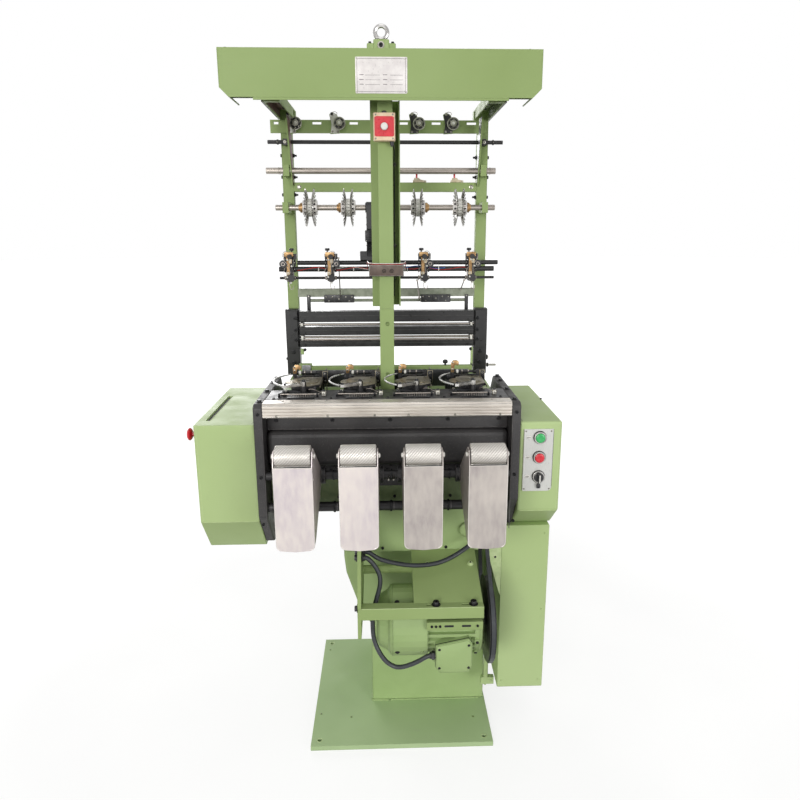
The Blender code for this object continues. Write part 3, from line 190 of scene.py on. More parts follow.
# Bare metal rubbed one way: stretch is small along the strokes
def brushed(name, look):
    made, tree, shader = newFinish(name, tone(*look["colour"]), look["metallic"], look["rough"])
    stroke = grain(tree, look["scale"], 3, look["stretch"], 0.6)
    cloud = patches(tree, 7, 3, 0.35, 0.68)
    colour = blendTone(tree, cloud, tone(*look["deep"]), tone(*look["colour"]))
    colour = blendTone(tree, times(tree, span(tree, stroke, 0.35, 0.7), look["streak"]), colour,
                       tone(*look["light"]))
    rough = span(tree, stroke, 0.3, 0.7, look["rough"] - 0.07, look["rough"] + 0.12)
    feed(tree, shader, colour, rough, bumpOn(tree, stroke, look["bump"], 0.0003, softEdge(tree, 0.0006)))
    return made


# Moulded or machined small parts: fine grain, slight tone change
def smallPart(name, colour, deep, metallic=0.0, rough=0.4, coat=0.0, fine=600, bump=0.15):
    made, tree, shader = newFinish(name, tone(*colour), metallic, rough, coat)
    cloud = patches(tree, 60, 4, 0.35, 0.65)
    rough = patches(tree, 150, 3, 0.3, 0.7, max(rough - 0.07, 0.05), rough + 0.1)
    normal = bumpOn(tree, grain(tree, fine, 2), bump, 0.0002, softEdge(tree, 0.0004))
    feed(tree, shader, blendTone(tree, cloud, tone(*deep), tone(*colour)), rough, normal)
    return made


finish = {
    "paint": enamel("paleGreenEnamel", {
        "colour": (158, 178, 120), "deep": (147, 167, 108), "dust": (150, 156, 120), "smudge": 0.25,
        "bare": (190, 204, 156), "wear": 0.5, "rough": 0.52, "peel": 0.16, "edge": 0.002, "coat": 0.03}),
    "coverPaint": enamel("coverEnamel", {
        "colour": (184, 204, 148), "deep": (175, 196, 136), "dust": (150, 160, 125), "smudge": 0.2,
        "bare": (203, 218, 176), "wear": 0.5, "rough": 0.5, "peel": 0.14, "edge": 0.003, "coat": 0.04}),
    # painted light: the base plate's enamel is lighter than the frame's, to make up for the dimmer light near
    # the floor
    "basePaint": enamel("basePlateEnamel", {
        "colour": (182, 204, 156), "deep": (164, 188, 138), "dust": (178, 184, 160), "smudge": 0.45,
        "bare": (120, 122, 104), "wear": 0.55, "rough": 0.56, "peel": 0.2, "edge": 0.002, "coat": 0.02}),
    "greenCast": casting("greenCasting", {
        "colour": (162, 184, 126), "deep": (148, 172, 112), "light": (180, 198, 148), "speck": 0.22,
        "wear": 0.45, "rough": 0.56, "lump": 0.25, "sand": 0.2, "edge": 0.004, "coat": 0.02}),
    "blackCast": casting("blackCasting", {
        "colour": (62, 60, 60), "deep": (44, 43, 44), "light": (112, 108, 104), "speck": 0.34,
        "wear": 0.6, "rough": 0.55, "lump": 0.3, "sand": 0.4, "edge": 0.003, "metallic": 0.1}),
    "blackSteel": casting("blackedSteel", {
        "colour": (52, 51, 52), "deep": (34, 33, 34), "light": (96, 92, 88), "speck": 0.16,
        "wear": 0.6, "rough": 0.42, "lump": 0.05, "sand": 0.12, "edge": 0.0012, "metallic": 0.4}),
    "chuteSteel": brushed("chuteSteel", {
        "colour": (212, 203, 199), "deep": (192, 182, 186), "light": (226, 220, 208), "metallic": 0.6,
        "rough": 0.42, "scale": 16, "stretch": (5, 5, 1.6), "streak": 0.35, "bump": 0.06}),
    # painted shade: a darker copy of the chute steel for chutes 3 and 4, which stand in dimmer light
    "chuteSteelShaded": brushed("chuteSteelShaded", {
        "colour": (184, 176, 170), "deep": (156, 148, 146), "light": (204, 198, 188), "metallic": 0.6,
        "rough": 0.44, "scale": 16, "stretch": (5, 5, 1.6), "streak": 0.35, "bump": 0.06}),
    "rollerSteel": brushed("rollerSteel", {
        "colour": (214, 210, 204), "deep": (186, 182, 176), "light": (236, 232, 226), "metallic": 0.85,
        "rough": 0.36, "scale": 40, "stretch": (1, 20, 20), "streak": 0.4, "bump": 0.15}),
    "barAlloy": brushed("breastBarAlloy", {
        "colour": (205, 198, 188), "deep": (178, 170, 162), "light": (230, 224, 214), "metallic": 0.8,
        "rough": 0.36, "scale": 35, "stretch": (0.7, 26, 26), "streak": 0.5, "bump": 0.2}),
    "shaftSteel": brushed("groundShaft", {
        "colour": (172, 164, 156), "deep": (154, 146, 139), "light": (188, 181, 173), "metallic": 0.9,
        "rough": 0.3, "scale": 24, "stretch": (0.6, 10, 10), "streak": 0.1, "bump": 0.0}),
    "needleSteel": smallPart("needleSteel", (222, 222, 220), (196, 196, 194), 0.6, 0.25, bump=0.0),
    # painted shade: darker steel for the faces in the knurl's grooves
    "grooveSteel": smallPart("grooveSteel", (168, 162, 156), (146, 140, 134), 0.3, 0.4, bump=0.0),
    # painted highlight: lighter green for lit edges, beads and patches on the green parts
    "edgeGreen": smallPart("litFoldedEdge", (196, 212, 158), (176, 196, 138), 0.0, 0.5),
    "harnessBlack": casting("harnessBlack", {
        "colour": (40, 39, 40), "deep": (27, 27, 28), "light": (84, 82, 80), "speck": 0.12,
        "wear": 0.7, "rough": 0.36, "lump": 0.04, "sand": 0.08, "edge": 0.0015, "metallic": 0.2}),
    # painted highlight: grey steel beads along the edges of the black bars, frames and sheets, and bands on
    # the shafts; some screws share it
    "edgeSteel": smallPart("paintedHighlightSteel", (104, 102, 102), (78, 76, 76), 0.5, 0.38),
    "brownBlack": smallPart("brownBlackPlate", (96, 80, 70), (76, 62, 54), 0.1, 0.45),
    "leaseSteel": smallPart("greyGreenBar", (150, 156, 138), (128, 134, 116), 0.2, 0.45),
    "plateSteel": brushed("headPlateSteel", {
        "colour": (128, 120, 100), "deep": (84, 78, 62), "light": (178, 168, 142), "metallic": 0.7,
        "rough": 0.36, "scale": 60, "stretch": (1.5, 12, 12), "streak": 0.5, "bump": 0.2}),
    "chrome": smallPart("polishedChrome", (186, 184, 180), (140, 138, 134), 1.0, 0.16, fine=900, bump=0.02),
    "zinc": smallPart("zincScrew", (178, 175, 166), (138, 135, 126), 0.95, 0.3, bump=0.05),
    "blackBolt": smallPart("blackOxideBolt", (34, 34, 36), (24, 24, 26), 0.5, 0.36),
    "brass": smallPart("brass", (182, 148, 104), (140, 108, 72), 0.7, 0.38),
    "red": smallPart("redMoulding", (224, 26, 46), (204, 16, 36), 0.0, 0.3, coat=0.4),
    "cream": smallPart("creamMoulding", (240, 216, 184), (228, 200, 166), 0.0, 0.42, coat=0.1),
    "lampGreen": smallPart("greenButton", (52, 188, 104), (36, 168, 84), 0.0, 0.25, coat=0.5),
    "blackPlastic": smallPart("blackMoulding", (36, 36, 38), (26, 26, 28), 0.0, 0.42, coat=0.1),
    "white": smallPart("whiteNylon", (236, 234, 228), (216, 214, 206), 0.0, 0.4, coat=0.1),
    "greyPlate": brushed("panelSheet", {
        "colour": (206, 206, 202), "deep": (190, 190, 186), "light": (222, 222, 218), "metallic": 0.35,
        "rough": 0.34, "scale": 60, "stretch": (16, 16, 1.5), "streak": 0.3, "bump": 0.08}),
    "plateWhite": smallPart("platePrint", (234, 229, 226), (222, 216, 214), 0.1, 0.32, coat=0.2),
    "plateGrey": smallPart("plateRules", (118, 112, 114), (96, 90, 92), 0.2, 0.4),
    "hose": smallPart("hoseRubber", (46, 50, 54), (34, 37, 40), 0.0, 0.46, coat=0.1),
    "redWire": smallPart("redWire", (196, 40, 34), (168, 26, 24), 0.0, 0.4),
    "blueWire": smallPart("blueWire", (60, 110, 190), (44, 90, 168), 0.0, 0.4),
    # painted shade: brown for the shaded underside of the left arm and the left gusset's inner face
    "shadeBrown": smallPart("shadedBrownSheet", (112, 84, 74), (92, 70, 62), 0.1, 0.5),
    # grey for the back rail's adjuster, and painted shade on the right gusset's inner face
    "greySheet": smallPart("greySheet", (150, 150, 152), (128, 128, 132), 0.4, 0.42),
    # painted shade: dark green for the right arm's underside and for the shaded green below the main beam
    "olive": smallPart("shadeGreenSheet", (118, 134, 92), (104, 120, 82), 0.0, 0.55),
    "ceramic": smallPart("creamCeramic", (226, 214, 184), (196, 180, 148), 0.0, 0.35, coat=0.2),
    # near-black for seams, and painted shade inside holes, sockets, slots and gaps
    "darkHollow": smallPart("darkHollow", (14, 14, 15), (10, 10, 11), 0.0, 0.7),
}


# The lifting eye is one forging: painted foot below, plated ring above
def eyeFinish():
    made, tree, shader = newFinish("eyeFinish", tone(206, 206, 204), 1.0, 0.18)
    spot = tree.nodes.new("ShaderNodeTexCoord")
    parts = tree.nodes.new("ShaderNodeSeparateXYZ")
    tree.links.new(spot.outputs["Object"], parts.inputs["Vector"])
    footTop = 2.0791
    ring = span(tree, parts.outputs["Z"], footTop - 0.0003, footTop + 0.0003)
    paint = blendTone(tree, patches(tree, 40, 4, 0.35, 0.65), tone(140, 162, 100), tone(158, 178, 118))
    metal = blendTone(tree, patches(tree, 30, 3, 0.35, 0.65), tone(150, 148, 146), tone(196, 194, 192))
    tree.links.new(ring, shader.inputs["Metallic"])
    normal = bumpOn(tree, grain(tree, 300, 2), 0.1, 0.0003, softEdge(tree, 0.001))
    feed(tree, shader, blendTone(tree, ring, paint, metal), span(tree, ring, 0, 1, 0.5, 0.16), normal)
    return made


finish["eye"] = eyeFinish()
print("finishes made:", len(finish))

nodeFinish = {
    "paint": "column top_beam upright_left upright_right tension_rail crossbar motor_cradle back_rail",
    "coverPaint": "cover_left cover_right belt_guard",
    "basePaint": "base_plate",
    "greenCast": "pedestal bed_casting motor",
    "blackCast": "main_beam side_frame_left side_frame_right",
    "harnessBlack": "harness_post_left harness_post_right harness_beams",
    "blackSteel": "head_rail chute_shaft lower_shaft warp_rod motor_pulley main_pulley detector_rack",
    "chuteSteel": "chute_1 chute_2",
    "chuteSteelShaded": "chute_3 chute_4",
    "rollerSteel": "nip_roller_1 nip_roller_2 nip_roller_3 nip_roller_4",
    "barAlloy": "breast_bar",
    "leaseSteel": "lease_bars",
    "shaftSteel": "feeder_shaft guide_roller",
    "eye": "lifting_eye",
    "chrome": "weft_needle_1 weft_needle_2 weft_needle_3 weft_needle_4",
    "red": "stop_button_side halt_button",
    "white": "stop_button_top",
    "lampGreen": "start_button",
    "cream": "stop_box",
    "blackPlastic": "feed_drive stop_collar_side selector_knob",
    "greyPlate": "switch_plate",
    "hose": "motor_hose supply_hose drive_belt",
}
for finishName, names in nodeFinish.items():
    for nodeName in names.split():
        mesh = nodes[nodeName].data
        mesh.materials.clear()
        mesh.materials.append(finish[finishName])


# Directions as the loom stands: its front looks along negative Y
ahead, behind = (0, -1, 0), (0, 1, 0)
up, down = (0, 0, 1), (0, 0, -1)
toRight, toLeft = (1, 0, 0), (-1, 0, 0)


# Mesh tools: each adds a shape to an open bmesh, with its own material number
def addBlock(bm, low, high, bevel=0.0, mat=0, steps=2):
    made = bmesh.ops.create_cube(bm, size=1.0)["verts"]
    low, high = Vector(low), Vector(high)
    fit = Matrix.Translation((low + high) / 2) @ Matrix.Diagonal((*(high - low), 1.0))
    bmesh.ops.transform(bm, verts=made, matrix=fit)
    for face in {f for v in made for f in v.link_faces}:
        face.material_index = mat
    if bevel:
        edges = list({e for v in made for e in v.link_edges})
        bmesh.ops.bevel(bm, geom=edges, offset=bevel, segments=steps, profile=0.5, affect="EDGES",
                        clamp_overlap=True)
    return made


def along(one, two, count):
    return [one + (two - one) * i / (count - 1) for i in range(count)]


def radial(degrees):
    turn = math.radians(degrees)
    return Vector((0, math.cos(turn), math.sin(turn)))


def facing(direction):
    return Vector(direction).normalized().to_track_quat("Z", "Y").to_matrix().to_4x4()


# profile lists (distance along the direction, radius); a radius of 0 closes the end
def addTurned(bm, start, direction, profile, mat=0, segments=28):
    fit = Matrix.Translation(Vector(start)) @ facing(direction)
    rings = []
    for far, radius in profile:
        if radius <= 0:
            rings.append([bm.verts.new(fit @ Vector((0, 0, far)))])
            continue
        ring = []
        for i in range(segments):
            a = 2 * math.pi * i / segments
            ring.append(bm.verts.new(fit @ Vector((radius * math.cos(a), radius * math.sin(a), far))))
        rings.append(ring)
    for one, two in zip(rings, rings[1:]):
        for i in range(segments):
            j = (i + 1) % segments
            if len(one) == 1 and len(two) == 1:
                break
            if len(one) == 1:
                corners = (one[0], two[i], two[j])
            elif len(two) == 1:
                corners = (one[i], one[j], two[0])
            else:
                corners = (one[i], one[j], two[j], two[i])
            bm.faces.new(corners).material_index = mat


def addRod(bm, start, end, radius, mat=0, segments=20, chamfer=0.0, radiusEnd=None):
    start, end = Vector(start), Vector(end)
    long = (end - start).length
    far = radius if radiusEnd is None else radiusEnd
    c = min(chamfer, long * 0.4, radius * 0.6)
    profile = [(0, 0), (0, radius - c), (c, radius), (long - c, far), (long, far - c), (long, 0)]
    if c <= 0:
        profile = [(0, 0), (0, radius), (long, far), (long, 0)]
    addTurned(bm, start, end - start, profile, mat, segments)


def smoothRoute(points, rounds=2, closed=False):
    route = [Vector(p) for p in points]
    for _ in range(rounds):
        pairs = list(zip(route, route[1:] + route[:1])) if closed else list(zip(route, route[1:]))
        cut = [] if closed else [route[0]]
        for one, two in pairs:
            cut.append(one.lerp(two, 0.25))
            cut.append(one.lerp(two, 0.75))
        if not closed:
            cut.append(route[-1])
        route = cut
    return route


def addTube(bm, points, radius, mat=0, segments=8, closed=False, radii=None):
    route = [Vector(p) for p in points]
    count = len(route)
    side = None
    rings = []
    for i, spot in enumerate(route):
        before = route[i - 1] if i or closed else route[i]
        after = route[(i + 1) % count] if i < count - 1 or closed else route[i]
        heading = (after - before).normalized()
        if side is None:
            side = heading.orthogonal().normalized()
        side = (side - heading * side.dot(heading)).normalized()
        other = heading.cross(side)
        r = radii[i] if radii else radius
        ring = []
        for k in range(segments):
            a = 2 * math.pi * k / segments
            ring.append(bm.verts.new(spot + r * (math.cos(a) * side + math.sin(a) * other)))
        rings.append(ring)
    pairs = list(zip(rings, rings[1:]))
    if closed:
        pairs.append((rings[-1], rings[0]))
    for one, two in pairs:
        for k in range(segments):
            j = (k + 1) % segments
            bm.faces.new((one[k], one[j], two[j], two[k])).material_index = mat
    if not closed:
        bm.faces.new(list(reversed(rings[0]))).material_index = mat
        bm.faces.new(rings[-1]).material_index = mat


# A thin straight bead along one axis; place holds the other two coordinates in their order
def addLine(bm, axis, ends, place, radius, mat=0, segments=6, count=4):
    spots = []
    for value in along(*ends, count):
        spot = list(place)
        spot.insert("XYZ".index(axis), value)
        spots.append(spot)
    addTube(bm, spots, radius, mat, segments)


# A flat outline with a thickness: X takes (y, z), Y takes (x, z), Z takes (x, y)
def addPlate(bm, axis, points, start, end, mat=0, bevel=0.0):
    def at(u, v, w):
        return {"X": (w, u, v), "Y": (u, w, v), "Z": (u, v, w)}[axis]
    near = [bm.verts.new(at(u, v, start)) for u, v in points]
    far = [bm.verts.new(at(u, v, end)) for u, v in points]
    made = [bm.faces.new(near), bm.faces.new(list(reversed(far)))]
    count = len(points)
    for i in range(count):
        j = (i + 1) % count
        made.append(bm.faces.new((near[j], near[i], far[i], far[j])))
    for face in made:
        face.material_index = mat
    if bevel:
        edges = list(made[0].edges) + list(made[1].edges)
        bmesh.ops.bevel(bm, geom=edges, offset=bevel, segments=2, profile=0.5, affect="EDGES",
                        clamp_overlap=True)


def roundCorners(points, radius, count=4):
    made = []
    total = len(points)
    for i in range(total):
        before, here, after = Vector(points[i - 1]), Vector(points[i]), Vector(points[(i + 1) % total])
        one, two = (before - here), (after - here)
        reach = min(radius, one.length * 0.45, two.length * 0.45)
        a, b = here + one.normalized() * reach, here + two.normalized() * reach
        for k in range(count + 1):
            t = k / count
            made.append(tuple(a * (1 - t) ** 2 + here * 2 * t * (1 - t) + b * t ** 2))
    return made


# A rectangle from corner to corner with rounded corners
def oblong(low, high, radius, count=4):
    return roundCorners([low, (high[0], low[1]), high, (low[0], high[1])], radius, count)


def arcPoints(cx, cy, radius, start, end, count):
    turns = [math.radians(start + (end - start) * i / (count - 1)) for i in range(count)]
    return [(cx + radius * math.cos(a), cy + radius * math.sin(a)) for a in turns]


# A screw head standing on spot: mat is the head, dark the socket or slot
def addScrew(bm, spot, direction, radius, kind="socket", mat=0, dark=1, washer=0.0):
    spot, out = Vector(spot), Vector(direction).normalized()
    tall = radius * {"socket": 1.1, "hex": 0.8, "dome": 0.7, "flat": 0.25, "slot": 0.5, "cross": 0.5}[kind]
    if washer:
        addTurned(bm, spot, out, [(0, 0), (0, washer), (radius * 0.16, washer), (radius * 0.2, washer * 0.94),
                                  (radius * 0.2, 0)], mat, 20)
        spot = spot + out * radius * 0.2
    if kind == "socket":
        hole = radius * 0.5
        addTurned(bm, spot, out, [(0, 0), (0, radius), (tall * 0.85, radius), (tall, radius * 0.88),
                                  (tall, hole)], mat, 20)
        addTurned(bm, spot, out, [(tall, hole), (tall * 0.4, hole), (tall * 0.35, 0)], dark, 6)
    elif kind == "hex":
        addTurned(bm, spot, out, [(0, 0), (0, radius), (tall * 0.8, radius), (tall, radius * 0.86),
                                  (tall, 0)], mat, 6)
    elif kind == "dome":
        rows = [(tall * math.sin(a), radius * math.cos(a)) for a in (0, 0.35, 0.7, 1.05, 1.35)]
        addTurned(bm, spot, out, [(0, 0), *rows, (tall, 0)], mat, 16)
    else:
        addTurned(bm, spot, out, [(0, 0), (0, radius), (tall * 0.5, radius), (tall, radius * 0.8), (tall, 0)],
                  mat, 18)
        turnTo = Matrix.Translation(spot + out * tall) @ facing(out) @ Matrix.Rotation(random.uniform(0, 3),
                4, "Z")
        arms = [(radius * 0.7, radius * 0.11)] if kind != "cross" else [(radius * 0.6, radius * 0.12),
                (radius * 0.12, radius * 0.6)]
        for a, b in arms:
            made = bmesh.ops.create_cube(bm, size=1.0)["verts"]
            bmesh.ops.transform(bm, verts=made,
                                matrix=turnTo @ Matrix.Diagonal((2 * a, 2 * b, radius * 0.1, 1)))
            for face in {f for v in made for f in v.link_faces}:
                face.material_index = dark


def addSpring(bm, start, end, radius, wire, turns, mat=0):
    start, end = Vector(start), Vector(end)
    fit = Matrix.Translation(start) @ facing(end - start)
    long = (end - start).length
    count = turns * 12
    points = []
    for i in range(count + 1):
        a = 2 * math.pi * i / 12
        points.append(fit @ Vector((radius * math.cos(a), radius * math.sin(a), long * i / count)))
    addTube(bm, points, wire, mat, 6)


# Closes a mesh into a piece; finishes lists the materials in the order of their numbers
def makePiece(name, bm, finishes, body="frame", smoothBelow=38):
    bmesh.ops.remove_doubles(bm, verts=bm.verts, dist=0.000004)
    bmesh.ops.recalc_face_normals(bm, faces=bm.faces)
    limit = math.radians(smoothBelow)
    for face in bm.faces:
        face.smooth = True
    for edge in bm.edges:
        if len(edge.link_faces) == 2 and edge.calc_face_angle(0.0) > limit:
            edge.smooth = False
    mesh = bpy.data.meshes.new(name)
    bm.to_mesh(mesh)
    bm.free()
    piece = bpy.data.objects.new(name, mesh)
    bpy.context.scene.collection.objects.link(piece)
    for key in finishes.split():
        mesh.materials.append(finish[key])
    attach(piece, body)
    return piece


def newShape():
    return bmesh.new()


def addRing(bm, spot, direction, inner, outer, thick, mat=0, segments=28):
    c = min(thick, outer - inner) * 0.2
    profile = [(0, inner), (0, outer - c), (c, outer), (thick - c, outer), (thick, outer - c), (thick, inner),
               (0, inner)]
    addTurned(bm, spot, direction, profile, mat, segments)


# A rectangular face plate with rounded corners and a round hole, lying in X and Z
def addHoledPlate(bm, centre, half, corner, hole, front, back, mat=0, count=48):
    x0, z0 = centre
    rows = []
    for y in (front, back):
        outer, inner = [], []
        for i in range(count):
            a = 2 * math.pi * (i + 0.5) / count
            c, s = math.cos(a), math.sin(a)
            grow = 1 / max(abs(c) / half[0], abs(s) / half[1])
            x, z = c * grow, s * grow
            bx, bz = half[0] - corner, half[1] - corner
            if abs(x) > bx and abs(z) > bz:
                d = math.hypot(abs(x) - bx, abs(z) - bz)
                x = math.copysign(bx + (abs(x) - bx) / d * corner, x)
                z = math.copysign(bz + (abs(z) - bz) / d * corner, z)
            outer.append(bm.verts.new((x0 + x, y, z0 + z)))
            inner.append(bm.verts.new((x0 + hole * c, y, z0 + hole * s)))
        rows.append((outer, inner))
    (fo, fi), (bo, bi) = rows
    for i in range(count):
        j = (i + 1) % count
        for corners in ((fo[i], fo[j], fi[j], fi[i]), (bo[j], bo[i], bi[i], bi[j]),
                        (fo[j], fo[i], bo[i], bo[j]), (fi[i], fi[j], bi[j], bi[i])):
            bm.faces.new(corners).material_index = mat


# Camera, lamps and floor
view = {
    "spot": (-0.0013, -2.0689, 1.5711), "down": 13.89, "aside": 2.017, "roll": 0.106,
    "lens": 30.69, "shiftX": -0.0129, "shiftY": -0.0021,
}
camera = bpy.data.objects.new("camera", bpy.data.cameras.new("camera"))
camera.data.sensor_width = 36
camera.data.lens = view["lens"]
camera.data.shift_x = view["shiftX"]
camera.data.shift_y = view["shiftY"]
camera.data.clip_end = 80
camera.location = view["spot"]
camera.rotation_euler = (math.radians(90 - view["down"]), math.radians(view["roll"]),
                         math.radians(-view["aside"]))
bpy.context.scene.collection.objects.link(camera)
bpy.context.scene.camera = camera
bpy.context.scene.view_settings.view_transform = "Standard"

lamps = {
    "key": {"spot": (-2.8, -7.4, 2.7), "at": (0, 0, 1.0), "size": 3.0, "power": 262,
            "colour": (1.0, 0.99, 0.97)},
    "fill": {"spot": (4.6, -6.8, 1.8), "at": (0, 0, 0.8), "size": 3.4, "power": 176,
             "colour": (0.98, 0.99, 1.0)},
    "top": {"spot": (0.3, -3.5, 8.0), "at": (0, 0, 0.8), "size": 3.4, "power": 30, "colour": (1.0, 1.0, 1.0)},
    "rear": {"spot": (-2.4, 7.2, 3.0), "at": (0, 0, 1.2), "size": 3.6, "power": 170,
             "colour": (1.0, 1.0, 1.0)},
}
for name, look in lamps.items():
    lamp = bpy.data.lights.new(name, "AREA")
    lamp.shape = "DISK"
    lamp.size = look["size"]
    lamp.energy = look["power"]
    lamp.color = look["colour"]
    holder = bpy.data.objects.new(name + "Lamp", lamp)
    holder.location = look["spot"]
    aim = Vector(look["at"]) - Vector(look["spot"])
    holder.rotation_euler = aim.to_track_quat("-Z", "Y").to_euler()
    bpy.context.scene.collection.objects.link(holder)


def seenShare(tree):
    path = tree.nodes.new("ShaderNodeLightPath")
    both = tree.nodes.new("ShaderNodeMath")
    both.operation = "MAXIMUM"
    tree.links.new(path.outputs["Is Camera Ray"], both.inputs[0])
    tree.links.new(path.outputs["Is Glossy Ray"], both.inputs[1])
    anyRay = tree.nodes.new("ShaderNodeMath")
    anyRay.operation = "MAXIMUM"
    tree.links.new(both.outputs[0], anyRay.inputs[0])
    tree.links.new(path.outputs["Is Transmission Ray"], anyRay.inputs[1])
    return anyRay.outputs[0]


room = {"light": 0.54, "white": 1.0, "glowNear": 0.78, "glowFar": 1.0}
world = bpy.data.worlds.new("studio")
bpy.context.scene.world = world
world.use_nodes = True
tree = world.node_tree
plain = tree.nodes["Background"]
plain.inputs["Color"].default_value = (1, 1, 1, 1)
plain.inputs["Strength"].default_value = room["light"]
seen = tree.nodes.new("ShaderNodeBackground")
seen.inputs["Strength"].default_value = room["white"]
seen.inputs["Color"].default_value = (1, 1, 1, 1)
swap = tree.nodes.new("ShaderNodeMixShader")
tree.links.new(seenShare(tree), swap.inputs["Fac"])
tree.links.new(plain.outputs[0], swap.inputs[1])
tree.links.new(seen.outputs[0], swap.inputs[2])
tree.links.new(swap.outputs[0], tree.nodes["World Output"].inputs["Surface"])

floorMat, tree, shader = newFinish("paleFloor", (0.24, 0.24, 0.235, 1), 0.0, 0.8, specular=0.2)
floorTone = blendTone(tree, patches(tree, 1.4, 3, 0.3, 0.7), (0.22, 0.22, 0.216, 1), (0.26, 0.26, 0.255, 1))
tree.links.new(floorTone, shader.inputs["Base Color"])
shader.inputs["Emission Color"].default_value = (1, 1, 1, 1)
where = tree.nodes.new("ShaderNodeTexCoord")
away = tree.nodes.new("ShaderNodeVectorMath")
away.operation = "LENGTH"
tree.links.new(where.outputs["Object"], away.inputs[0])
# the far floor runs into the white
glow = span(tree, away.outputs["Value"], 1.2, 3.8, room["glowNear"], room["glowFar"])
tree.links.new(times(tree, seenShare(tree), glow), shader.inputs["Emission Strength"])
floorShape = newShape()
bmesh.ops.create_circle(floorShape, cap_ends=True, segments=96, radius=40)
floorMesh = bpy.data.meshes.new("floor")
floorShape.to_mesh(floorMesh)
floorShape.free()
floor = bpy.data.objects.new("floor", floorMesh)
floorMesh.materials.append(floorMat)
bpy.context.scene.collection.objects.link(floor)
print("camera, lamps and floor ready")


# Top beam: rivetted plate, weld lines and the eye's bolts
beamLow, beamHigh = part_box("top_beam")
plateLook = {"x": (-0.079, 0.062), "z": (1.932, 2.024), "thick": 0.0012, "rivet": 0.0022,
             "rows": (0.046, 0.034, 0.022)}


def dressBeam():
    bm = newShape()
    face = beamLow.y
    x0, x1 = plateLook["x"]
    z0, z1 = plateLook["z"]
    front = face - plateLook["thick"]
    outline = oblong((x0, z0), (x1, z1), 0.003)
    addPlate(bm, "Y", outline, front, face + 0.0005, 0, 0.0003)
    inset = 0.0045
    a, b, c, d = x0 + inset, x1 - inset, z0 + inset, z1 - inset
    border = oblong((a, c), (b, d), 0.006, 3)
    addTube(bm, [(u, front, v) for u, v in border], 0.00045, 1, 6, closed=True)
    for row in plateLook["rows"]:
        for left, right in ((a + 0.022, a + 0.062), (a + 0.09, b - 0.008)):
            addBlock(bm, (left, front - 0.0002, z0 + row), (right, front + 0.0004, z0 + row + 0.0007), 0, 1)
        for left in (a + 0.006, a + 0.07):
            addBlock(bm, (left, front - 0.0002, z0 + row), (left + 0.012, front + 0.0004, z0 + row + 0.0022),
                     0.0003, 1)
    for u in (x0 + 0.004, x1 - 0.004):
        for v in (z0 + 0.004, z1 - 0.004):
            addScrew(bm, (u, front, v), ahead, plateLook["rivet"], "dome", 2, 1)
    makePiece("blankPlate", bm, "plateWhite plateGrey zinc")

    # folded edges and weld beads at both ends
    bm = newShape()
    for x in (beamLow.x + 0.0015, beamHigh.x - 0.0015):
        for y in (beamLow.y + 0.001, beamHigh.y - 0.001):
            addTube(bm, [(x, y, beamHigh.z - 0.004), (x, y, beamLow.z + 0.055), (x, y, beamLow.z + 0.04)],
                    0.0018, 0, 8)
    addLine(bm, "X", (-0.357, 0.341), (beamLow.y + 0.0004, 1.9222), 0.0012, 0, 8)
    makePiece("beamWelds", bm, "paint")

    # eye foot: side lugs and black screws
    bm = newShape()
    top = beamHigh.z
    for x in (-0.0395, 0.0235):
        for y in (-0.0065, 0.0065):
            addScrew(bm, (x, y, top + 0.0241), up, 0.0042, "socket", 0, 1)
    for x in (-0.053, 0.046):
        addScrew(bm, (x, -0.01, top), up, 0.0062, "hex", 0, 1, washer=0.0085)
    addRing(bm, (-0.009, -0.0168, top + 0.018), ahead, 0.005, 0.0098, 0.0022, 2, 28)
    addScrew(bm, (-0.009, -0.0168, top + 0.018), ahead, 0.0058, "socket", 0, 1)
    for x in (-0.43, 0.4):
        addScrew(bm, (x, -0.035, top), up, 0.0055, "hex", 0, 1, washer=0.008)
    for x in (-0.015, 0.015):
        for y in (0.025, 0.055):
            addScrew(bm, (x, y, top), up, 0.0055, "hex", 0, 1, washer=0.008)
    makePiece("beamBolts", bm, "blackBolt darkHollow zinc")


dressBeam()
print("top beam dressed")


# Column: fold lines, the wire in the channel's gap, and the channel's end steps
columnLook = {"half": 0.0215, "front": 0.015, "gapX": 0.0275, "gapBack": 0.1075, "foot": 1.34, "top": 1.92}


